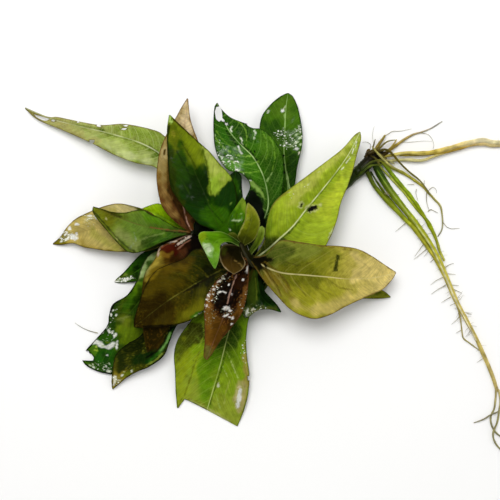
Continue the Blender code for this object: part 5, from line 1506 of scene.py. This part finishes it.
def build_leaf(name, shoot, form, look, seed):
    """A closed thin leaf with its veins in relief and holes cut through it, painted and lying in place."""
    grid = leaf_grid(shoot, **form)
    keep = cut_holes(grid, look.get("holes"), seed)
    u, w, d = grid["u"], grid["w"], grid["across"]
    phase = vein_phase(grid, seed)
    from_vein = np.abs(phase - np.round(phase))
    fade = smooth_step(d / 1.2) * smooth_step(grid["inward"] / 2.5) * grid["bulge"]
    relief = -0.5 * VEIN_PUCKER * fade * np.cos(2 * math.pi * phase)
    relief -= VEIN_GROOVE * fade * smooth_step(1 - from_vein / 0.12)
    rib_width = RIB_HALF_WIDTH * (1 - RIB_NARROWING * u)
    rib = np.exp(-((d / rib_width) ** 2)) * (1 - 0.7 * u)
    relief += RIB_CREST * rib - RIB_BED * np.exp(-((d / (rib_width * 2)) ** 2))
    sway = UNDULATION * min(1.0, grid["widest"] / 14) * grid["bulge"]
    relief += sway * np.minimum(1, d / 3) * waves(grid["x"], grid["y"], 16, seed + 1)
    relief += 0.6 * sway * np.abs(w) ** 3 * waves(grid["x"], grid["y"], 5.5, seed + 2)
    middle = grid["z"] + relief
    stalk = PETIOLE_THICKNESS * np.exp(-((u * grid["length"] / STALK_REACH) ** 2))
    filled = smooth_step(grid["inward"] / EDGE_TAPER)
    blade = EDGE_THICKNESS + (BLADE_THICKNESS - EDGE_THICKNESS) * filled
    round_off = np.sqrt(np.maximum(0, 1 - w * w))
    above = (blade + stalk * round_off) / 2
    below = above + RIB_HEIGHT * rib
    middle = np.maximum(middle, TABLE_CLEARANCE + below)
    colour, fields = leaf_paint(grid, look, seed)
    rows, columns = u.shape
    count = rows * columns
    sheets = [place(grid["x"], grid["y"], z).reshape(count, 3) for z in (middle + above, middle - below)]
    index = np.arange(count).reshape(rows, columns)
    cells = np.stack([index[:-1, :-1], index[:-1, 1:], index[1:, 1:], index[1:, :-1]], axis=-1)[keep]
    # A cell side that no other cell runs along the opposite way lies on the border and gets an edge face.
    directed = np.concatenate([cells[:, [i, (i + 1) % 4]] for i in range(4)])
    codes = directed[:, 0] * count + directed[:, 1]
    opposite = directed[:, 1] * count + directed[:, 0]
    a, b = directed[~np.isin(codes, opposite)].T
    edges = np.stack([b, a, a + count, b + count], axis=1)
    faces = np.concatenate([cells, cells[:, ::-1] + count, edges])
    under = np.clip(colour * (1 - UNDER_SHARE) + linear(UNDER_COLOUR) * UNDER_SHARE, 0, 1)
    paint = np.concatenate([colour.reshape(count, 3), under.reshape(count, 3)])
    fields = {key: np.tile(values.reshape(count), 2) for key, values in fields.items()}
    fields["Wet"][count:] *= UNDER_WETNESS
    fields["Glint"][count:] = 0.0
    veins = np.stack([phase, d / rib_width], axis=-1).reshape(count, 2)
    return new_piece(name, np.concatenate(sheets), faces, paint, np.concatenate([veins, veins]), fields)


def add_object(name, data):
    """A new object in the scene with this mesh, light or camera."""
    item = bpy.data.objects.new(name, data)
    bpy.context.scene.collection.objects.link(item)
    return item


def new_piece(name, points, faces, paint, veins, fields=()):
    """A mesh object from these arrays, with its paint, vein places and other fields as mesh attributes.

    A face that names a corner twice is a triangle.
    """
    used = np.unique(faces)
    renumber = np.zeros(len(points), int)
    renumber[used] = np.arange(len(used))
    mesh = bpy.data.meshes.new(name)
    faces = [list(dict.fromkeys(face)) for face in renumber[faces].tolist()]
    mesh.from_pydata(points[used].tolist(), [], faces)
    painted = mesh.color_attributes.new("Paint", "FLOAT_COLOR", "POINT")
    colours = np.concatenate([lit_paint(paint[used]), np.ones((len(used), 1))], axis=1)
    painted.data.foreach_set("color", colours.astype(np.float32).ravel())
    for key, values in dict(fields).items():
        mesh.attributes.new(key, "FLOAT", "POINT").data.foreach_set("value", values[used].astype(np.float32))
    corners = np.zeros(len(mesh.loops), int)
    mesh.loops.foreach_get("vertex_index", corners)
    layer = mesh.uv_layers.new(name="Veins")
    layer.data.foreach_set("uv", veins[used][corners].astype(np.float32).ravel())
    mesh.validate()
    mesh.shade_smooth()
    return add_object(name, mesh)


class Nodes:
    """Makes and links the nodes of one material or sky."""

    def __init__(self, owner):
        owner.use_nodes = True
        self.tree = owner.node_tree
        self.tree.nodes.clear()

    def add(self, kind, inputs=(), **settings):
        """A new node of this kind, with these inputs set or linked."""
        node = self.tree.nodes.new("ShaderNode" + kind)
        for key, value in settings.items():
            setattr(node, key, value)
        for key, value in dict(inputs).items():
            if isinstance(value, bpy.types.NodeSocket):
                self.tree.links.new(value, node.inputs[key])
            else:
                node.inputs[key].default_value = value
        return node

    def attribute(self, name, output="Fac"):
        return self.add("Attribute", attribute_name=name).outputs[output]

    def noise(self, where, scale, detail):
        return self.add("TexNoise", {"Vector": where, "Scale": scale, "Detail": detail}).outputs["Fac"]

    def stretched(self, where, scale, turn=(0.0, 0.0, 0.0)):
        return self.add("Mapping", {"Vector": where, "Rotation": turn, "Scale": scale}).outputs[0]

    def math(self, operation, a, b=0.0):
        return self.add("Math", {0: a, 1: b}, operation=operation).outputs[0]

    def times(self, a, b):
        return self.math("MULTIPLY", a, b)

    def total(self, value, *others):
        for other in others:
            value = self.math("ADD", value, other)
        return value

    def ramp(self, value, low, high, to_low=0.0, to_high=1.0):
        """A smooth step from to_low to to_high while the value goes from low to high."""
        inputs = {"Value": value, "From Min": low, "From Max": high, "To Min": to_low, "To Max": to_high}
        return self.add("MapRange", inputs, interpolation_type="SMOOTHSTEP").outputs[0]

    def mix(self, share, a, b, blend="MIX"):
        return self.add("Mix", {0: share, 6: a, 7: b}, data_type="RGBA", blend_type=blend).outputs[2]

    def lay(self, colour, over, mask, strength):
        """The colour with another one laid over it, as thick as the mask times the strength."""
        return self.mix(self.times(mask, strength), colour, over)

    def shaded(self, colour, shade):
        """The colour made darker or lighter by a factor."""
        tone = self.add("CombineColor", {0: shade, 1: shade, 2: shade}).outputs[0]
        return self.mix(1.0, colour, tone, "MULTIPLY")


def solid(code):
    return (*linear(code), 1.0)


def leaf_material(name, look):
    """Painted leaf with pale midrib and side veins, fine net veins, and gloss where it is wet."""
    material = bpy.data.materials.new(name)
    nodes = Nodes(material)
    paint = nodes.attribute("Paint", "Color")
    wet, glints, margin = (nodes.attribute(key) for key in ("Wet", "Glint", "Margin"))
    place_on = nodes.add("TexCoord").outputs["Object"]
    blotches = nodes.noise(place_on, 420.0, 3.0)
    grain = nodes.noise(place_on, 2200.0, 2.0)

    # The side veins are uneven in strength and the midrib is patchy.
    vein_place = nodes.add("UVMap", uv_map="Veins").outputs["UV"]
    phase, from_rib, _ = nodes.add("SeparateXYZ", {0: vein_place}).outputs
    vein = nodes.ramp(nodes.math("PINGPONG", phase, 0.5), 0.02, 0.1, 1.0, 0.0)
    vein = nodes.times(vein, nodes.ramp(from_rib, 0.6, 2.4))
    chance = nodes.add("TexWhiteNoise", {"W": nodes.math("ROUND", phase)}, noise_dimensions="1D")
    vein = nodes.times(vein, nodes.ramp(chance.outputs["Value"], 0.0, 1.0, 0.3, 1.0))
    rib = nodes.ramp(from_rib, 0.55, 1.05, 1.0, 0.0)
    rib = nodes.times(rib, nodes.ramp(nodes.noise(place_on, 170.0, 1.0), 0.35, 0.6, 0.35, 1.0))
    net = nodes.add("TexVoronoi", {"Vector": place_on, "Scale": 950.0}, feature="DISTANCE_TO_EDGE")
    net_lines = nodes.ramp(net.outputs["Distance"], 0.02, 0.16, 1.0, 0.0)
    stripes = nodes.noise(nodes.stretched(vein_place, (7.0, 0.06, 1.0)), 1.0, 2.0)
    across_blotches = nodes.ramp(blotches, 0.35, 0.65, 0.93, 1.06)
    colour = nodes.shaded(paint, nodes.times(across_blotches, nodes.ramp(stripes, 0.35, 0.65, 0.88, 1.12)))

    # Pale veins don't show on the parts that are painted nearly black.
    shown = nodes.ramp(nodes.add("SeparateColor", {0: paint}).outputs["Green"], 0.004, 0.03)
    vein, rib, net_lines = (nodes.times(mark, shown) for mark in (vein, rib, net_lines))
    vein_code, vein_strength = look["veins"]
    rib_code, rib_strength = look["rib"]
    rim_code, _, rim_strength = look["rim"]
    colour = nodes.lay(colour, solid(vein_code), net_lines, vein_strength * 0.3)
    colour = nodes.lay(colour, solid(vein_code), vein, vein_strength)
    colour = nodes.lay(colour, solid(rib_code), rib, rib_strength)

    # A thin darker line follows the margin.
    ragged = nodes.total(margin, nodes.ramp(blotches, 0.3, 0.7, -0.12, 0.12))
    outline = nodes.ramp(ragged, 0.14, 0.42, 1.0, 0.0)
    colour = nodes.lay(colour, (*linear(rim_code) * 0.5, 1.0), outline, 0.25 + 0.5 * rim_strength)

    # Glints are painted highlights, so that they stay in place from any side.
    glint_noise = nodes.noise(nodes.stretched(place_on, GLINT_SCALE, GLINT_TURN), 1.0, 2.0)
    glint_noise = nodes.total(glint_noise, nodes.times(glints, 0.47))
    some = nodes.ramp(glints, 0.0, 0.05)
    colour = nodes.lay(colour, solid("CADCA8"), nodes.ramp(glint_noise, 0.6, 0.72, 0.0, 0.3), some)
    colour = nodes.lay(colour, solid("FAFAF4"), nodes.ramp(glint_noise, 0.71, 0.75), some)

    height = nodes.total(
        nodes.times(vein, -0.35),
        nodes.times(net_lines, -0.2),
        nodes.times(grain, 0.12),
        nodes.times(stripes, 0.25),
        nodes.times(nodes.times(nodes.noise(place_on, 650.0, 1.0), wet), 1.4),
    )
    bump = nodes.add("Bump", {"Strength": 0.7, "Distance": 0.00022, "Height": height}).outputs[0]
    surface = nodes.add(
        "BsdfPrincipled",
        {
            "Base Color": colour,
            "Roughness": nodes.total(
                nodes.ramp(wet, 0.0, 1.0, 0.42, 0.14), nodes.ramp(grain, 0.3, 0.7, -0.05, 0.07)
            ),
            "IOR": PLANT_IOR,
            "Specular IOR Level": 0.03,
            "Coat Weight": nodes.ramp(wet, 0.2, 1.0, 0.0, 0.8),
            "Coat Roughness": 0.06,
            "Normal": bump,
        },
    )
    lit = nodes.mix(1.0, colour, THROUGH_TINT, "MULTIPLY")
    through = nodes.add("BsdfTranslucent", {"Color": lit, "Normal": bump})
    both = nodes.add("MixShader", {0: THROUGH_SHARE, 1: surface.outputs[0], 2: through.outputs[0]})
    nodes.add("OutputMaterial", {"Surface": both.outputs[0]})
    return material


def shoot_material(name, gloss, stripe_length):
    """Painted stem or root: lengthwise streaks, small dark pits and an uneven wet skin."""
    material = bpy.data.materials.new(name)
    nodes = Nodes(material)
    paint = nodes.attribute("Paint", "Color")
    place_on = nodes.add("TexCoord").outputs["Object"]
    round_it = nodes.add("UVMap", uv_map="Veins").outputs["UV"]
    streaks = nodes.noise(nodes.stretched(round_it, (1.0, stripe_length, 1.0)), 3.0, 4.0)
    blotches = nodes.noise(place_on, 500.0, 3.0)
    across_streaks = nodes.ramp(streaks, 0.35, 0.65, 0.72, 1.22)
    colour = nodes.shaded(paint, nodes.times(across_streaks, nodes.ramp(blotches, 0.35, 0.65, 0.85, 1.12)))
    pits = nodes.add("TexVoronoi", {"Vector": place_on, "Scale": 900.0}).outputs["Distance"]
    dark = nodes.times(nodes.ramp(pits, 0.05, 0.22, 1.0, 0.0), 0.4)
    colour = nodes.mix(nodes.ramp(streaks, 0.55, 0.72, 0.0, 0.35), colour, solid("D2C88C"))
    colour = nodes.mix(dark, colour, solid("2A2410"))
    height = nodes.total(nodes.times(streaks, 0.8), nodes.times(blotches, 0.5))
    height = nodes.math("SUBTRACT", height, dark)
    bump = nodes.add("Bump", {"Strength": 0.6, "Distance": 0.0002, "Height": height}).outputs[0]
    surface = nodes.add(
        "BsdfPrincipled",
        {
            "Base Color": colour,
            "Roughness": nodes.ramp(blotches, 0.3, 0.7, gloss, gloss + 0.2),
            "IOR": PLANT_IOR,
            "Specular IOR Level": 0.07,
            "Coat Weight": nodes.ramp(streaks, 0.4, 0.7, 0.0, 0.3),
            "Coat Roughness": 0.12,
            "Normal": bump,
        },
    )
    nodes.add("OutputMaterial", {"Surface": surface.outputs[0]})
    return material


def tube(centres, radii, sides, swell=None):
    """A closed round tube through world millimetre points: its points, faces, and places on it."""
    ways = np.gradient(centres, axis=0)
    ways /= np.linalg.norm(ways, axis=1)[:, None]
    turns = np.linspace(0, math.pi / 2, CAP_RINGS + 1)[:-1]

    def cap(end, outwards, share):
        """The rings that close this end, from its very point inwards."""
        centre, way, radius = centres[end], ways[end], radii[end]
        reach = outwards * radius * way
        return [(centre + reach * math.cos(t), radius * math.sin(t), way, share) for t in turns]

    first, last = cap(0, -1, 0), cap(-1, 1, 1)[::-1]
    body = zip(centres, radii, ways, np.linspace(0, 1, len(centres)))
    rings = [*first[1:], *body, *last[:-1]]
    side = np.cross(ways[0], [0.0, 0.0, 1.0])
    if np.linalg.norm(side) < 0.1:
        side = np.array([1.0, 0.0, 0.0])
    points, places = [first[0][0]], [(0.0, 0.0)]
    for centre, radius, way, along in rings:
        side = side - way * side.dot(way)
        side /= np.linalg.norm(side)
        up = np.cross(side, way)
        for step in range(sides):
            angle = 2 * math.pi * step / sides
            reach = radius * (1 if swell is None else swell(along, angle))
            points.append(centre + (side * math.cos(angle) + up * math.sin(angle)) * reach)
            places.append((step / sides, along))
    points.append(last[-1][0])
    places.append((0.0, 1.0))
    faces = []
    for ring in range(len(rings) - 1):
        for step in range(sides):
            a = 1 + ring * sides + step
            b = 1 + ring * sides + (step + 1) % sides
            faces.append((a, b, b + sides, a + sides))
    end = len(points) - 1
    tail = 1 + (len(rings) - 1) * sides
    for step in range(sides):
        after = (step + 1) % sides
        faces.append((0, 1 + after, 1 + step, 1 + step))
        faces.append((end, tail + step, tail + after, tail + after))
    return np.array(points), np.array(faces), np.array(places)


class Bundle:
    """Gathers tubes into one mesh."""

    def __init__(self):
        self.points, self.faces, self.paint, self.places = [], [], [], []
        self.count = 0

    def add(self, centres, radii, sides, along, seed, swell=None):
        """Adds a tube through these world millimetre points, painted with colours along it."""
        points, faces, places = tube(centres, radii, sides, swell)
        fleck = waves(points[:, 0], points[:, 1] + points[:, 2], 2.5, seed)
        self.paint.append(np.clip(graded(places[:, 1], along) * (1 + 0.12 * fleck)[:, None], 0, 1))
        points[:, 2] = np.maximum(points[:, 2], TABLE_CLEARANCE)
        self.points.append(points * MM)
        self.faces.append(faces + self.count)
        self.places.append(places)
        self.count += len(points)

    def piece(self, name):
        parts = (self.points, self.faces, self.paint, self.places)
        return new_piece(name, *(np.concatenate(part) for part in parts))


def axis_of(points, steps):
    """A shoot's or root's axis in world millimetres, and its radii."""
    samples = evenly_spaced(curve_through(points), steps)
    radii = samples[:, 3]
    heights = np.maximum(samples[:, 2], radii + TABLE_CLEARANCE)
    return place(samples[:, 0], samples[:, 1], heights) / MM, radii


def strand_centres(points):
    """A strand's picture places and heights as closely spaced world millimetre points, and its radii."""
    rows = [((x * PIXEL - PICTURE_HALF), (PICTURE_HALF - y * PIXEL), z, radius) for x, y, z, radius in points]
    steps = max(8, round(lengths_along(curve_through(rows))[-1] / STRAND_STEP))
    return axis_of(rows, steps)


def add_strand(bundle, places, along, seed):
    """Adds one uneven strand of a root, through these places of the table."""
    centres, radii = strand_centres(points_of(places))
    share = np.linspace(0, 30, len(radii))
    radii = radii * (1 + 0.07 * waves(share, share * 0, 3, seed))
    bundle.add(centres, radii, STRAND_SIDES, along, seed)


def random_hairs(chance):
    """Short hairs standing out on both sides of the long root, as world millimetre points and a radius."""
    centres, radii = strand_centres(points_of(STRANDS["root_main"][1][0]))
    ways = np.gradient(centres, axis=0)
    for _ in range(RANDOM_HAIRS):
        at = round(chance.triangular(0.25, 0.9, 0.5) * (len(centres) - 1))
        way = ways[at] / np.linalg.norm(ways[at])
        side = np.array([way[1], -way[0], 0]) * chance.choice((-1, 1))
        out = side + way * chance.uniform(-0.5, 0.7)
        reach = chance.uniform(1.2, 3.6)
        start = centres[at] + side * radii[at] * 0.5
        points = [start + out * reach * t for t in (0, 0.35, 0.7, 1)]
        for step, point in enumerate(points):
            point[2] = start[2] + (0.35 - start[2]) * step / 3 + chance.uniform(0, 0.4)
            point[:2] += [chance.uniform(-0.2, 0.2), chance.uniform(-0.2, 0.2)]
        yield np.array(points), chance.uniform(0.05, 0.09)


def build_hairs(seed):
    """The seen hairs of each piece, which start a little higher, and the random ones of the long root."""
    material = shoot_material("hair_skin", 0.4, 0.3)
    for node, hairs in HAIRS.items():
        bundle = Bundle()
        for height, radius, places in hairs:
            rows = [(x, y, height, radius) for x, y in points_of(places)]
            rows[0] = (*rows[0][:2], height + 0.3, radius)
            centres, radii = strand_centres(rows)
            bundle.add(centres, radii * np.linspace(1.1, 0.55, len(radii)), 6, HAIR_COLOURS, seed)
        if node == "root_main":
            for points, radius in random_hairs(random.Random(seed)):
                centres = curve_through(points)
                bundle.add(centres, radius * np.linspace(1.0, 0.4, len(centres)), 5, HAIR_COLOURS, seed)
        finish_piece(bundle.piece(node + "_hairs"), node, material)


def finish_piece(piece, node, material):
    """Gives the piece its material, hides the node of the part that it stands for, and hangs it on the root
    body.
    """
    piece.data.materials.append(material)
    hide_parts(node)
    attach(piece, "root")


def add_shoot(bundle, centres, radii, along, seed):
    """Adds a stem with lengthwise ridges and an uneven skin."""

    def swell(along_it, angle):
        ridges = 0.035 * math.sin(angle * 6 + along_it * 9)
        return 0.95 + ridges + 0.03 * float(waves(np.array(along_it * 60), np.array(angle), 4, seed))

    bundle.add(centres, radii, STEM_SIDES, along, seed, swell)


def build_plant():
    """Builds every leaf, then the stem with the roots, the side shoot and the root hairs."""
    seed = 100
    for shoot, leaves in ((SIDE_SHOOT, SIDE_SHOOT_LEAVES), (STEM, STEM_LEAVES)):
        for node, form in leaves.items():
            seed += 100
            piece = build_leaf(node + "_blade", shoot, form, LOOKS[node], seed)
            finish_piece(piece, node, leaf_material(node + "_skin", LOOKS[node]))
    for node, strands in STRANDS.items():
        seed += 100
        bundle = Bundle()
        if node == "stem":
            centres, radii = axis_of(STEM, STEM_STEPS)
            radii = radii * np.interp(np.arange(STEM_STEPS + 1), *STEM_END)
            add_shoot(bundle, centres, radii, STEM_COLOURS, seed)
        for number, (places, along) in enumerate(strands):
            add_strand(bundle, places, along, seed + number)
        finish_piece(bundle.piece(node + "_strands"), node, shoot_material(node + "_skin", 0.3, 0.1))
    bundle = Bundle()
    add_shoot(bundle, *axis_of(SIDE_SHOOT, SIDE_SHOOT_STEPS), SIDE_SHOOT_COLOURS, seed + 50)
    piece = bundle.piece("side_shoot_detail")
    finish_piece(piece, "side_shoot", shoot_material("side_shoot_skin", 0.3, 0.1))
    build_hairs(seed + 80)


def lay_table():
    """A plain pale table top, a little cloudy."""
    mesh = bpy.data.meshes.new("table")
    corners = [(-1, -1), (1, -1), (1, 1), (-1, 1)]
    mesh.from_pydata([(x * TABLE_HALF, y * TABLE_HALF, 0) for x, y in corners], [], [(0, 1, 2, 3)])
    material = bpy.data.materials.new("table_top")
    nodes = Nodes(material)
    cloud = nodes.noise(nodes.add("TexCoord").outputs["Object"], 6.0, 2.0)
    colour = nodes.mix(cloud, solid("ECEBEA"), solid("F0F0EE"))
    surface = nodes.add("BsdfPrincipled", {"Base Color": colour, "Roughness": 0.5})
    nodes.add("OutputMaterial", {"Surface": surface.outputs[0]})
    mesh.materials.append(material)
    add_object("table", mesh)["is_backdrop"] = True


def light_studio():
    """A white sky that is brighter near the horizon, and round lamps that face the plant."""
    world = bpy.data.worlds.new("studio")
    nodes = Nodes(world)
    toward = nodes.add("TexCoord").outputs["Generated"]
    height = nodes.add("SeparateXYZ", {0: toward}).outputs["Z"]
    strength = nodes.add("MapRange", {"Value": height, **SKY}).outputs[0]
    sky = nodes.add("Background", {"Color": (1.0, 1.0, 1.0, 1.0), "Strength": strength})
    nodes.add("OutputWorld", {"Surface": sky.outputs[0]})
    bpy.context.scene.world = world
    for name, spot, size, power in LIGHTS:
        lamp = bpy.data.lights.new(name, "AREA")
        lamp.shape = "DISK"
        lamp.size = size
        lamp.energy = power
        light = add_object(name, lamp)
        light.location = spot
        light.rotation_euler = (-Vector(spot)).to_track_quat("-Z", "Y").to_euler()


def set_eye():
    """The camera, looking straight down on the whole picture."""
    camera = bpy.data.cameras.new("eye")
    camera.sensor_width = SENSOR_WIDTH
    camera.lens = SENSOR_WIDTH * EYE_HEIGHT / (2 * PICTURE_HALF)
    camera.clip_start = 0.01
    viewer = add_object("eye", camera)
    viewer.location = (CENTRE_X * MM, CENTRE_Y * MM, EYE_HEIGHT * MM)
    bpy.context.scene.camera = viewer
    bpy.context.scene.view_settings.view_transform = "Standard"


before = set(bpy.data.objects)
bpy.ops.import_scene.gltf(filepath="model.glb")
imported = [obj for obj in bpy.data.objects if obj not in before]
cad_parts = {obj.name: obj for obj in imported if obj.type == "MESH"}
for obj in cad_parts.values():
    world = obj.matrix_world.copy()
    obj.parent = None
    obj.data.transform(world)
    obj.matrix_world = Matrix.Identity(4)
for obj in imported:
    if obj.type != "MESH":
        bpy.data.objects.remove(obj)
cad_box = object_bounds()
set_eye()
lay_table()
light_studio()
build_plant()
boxes = {"cad": cad_box, "visual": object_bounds()}
{name: [list(corner) for corner in box] for name, box in boxes.items()}
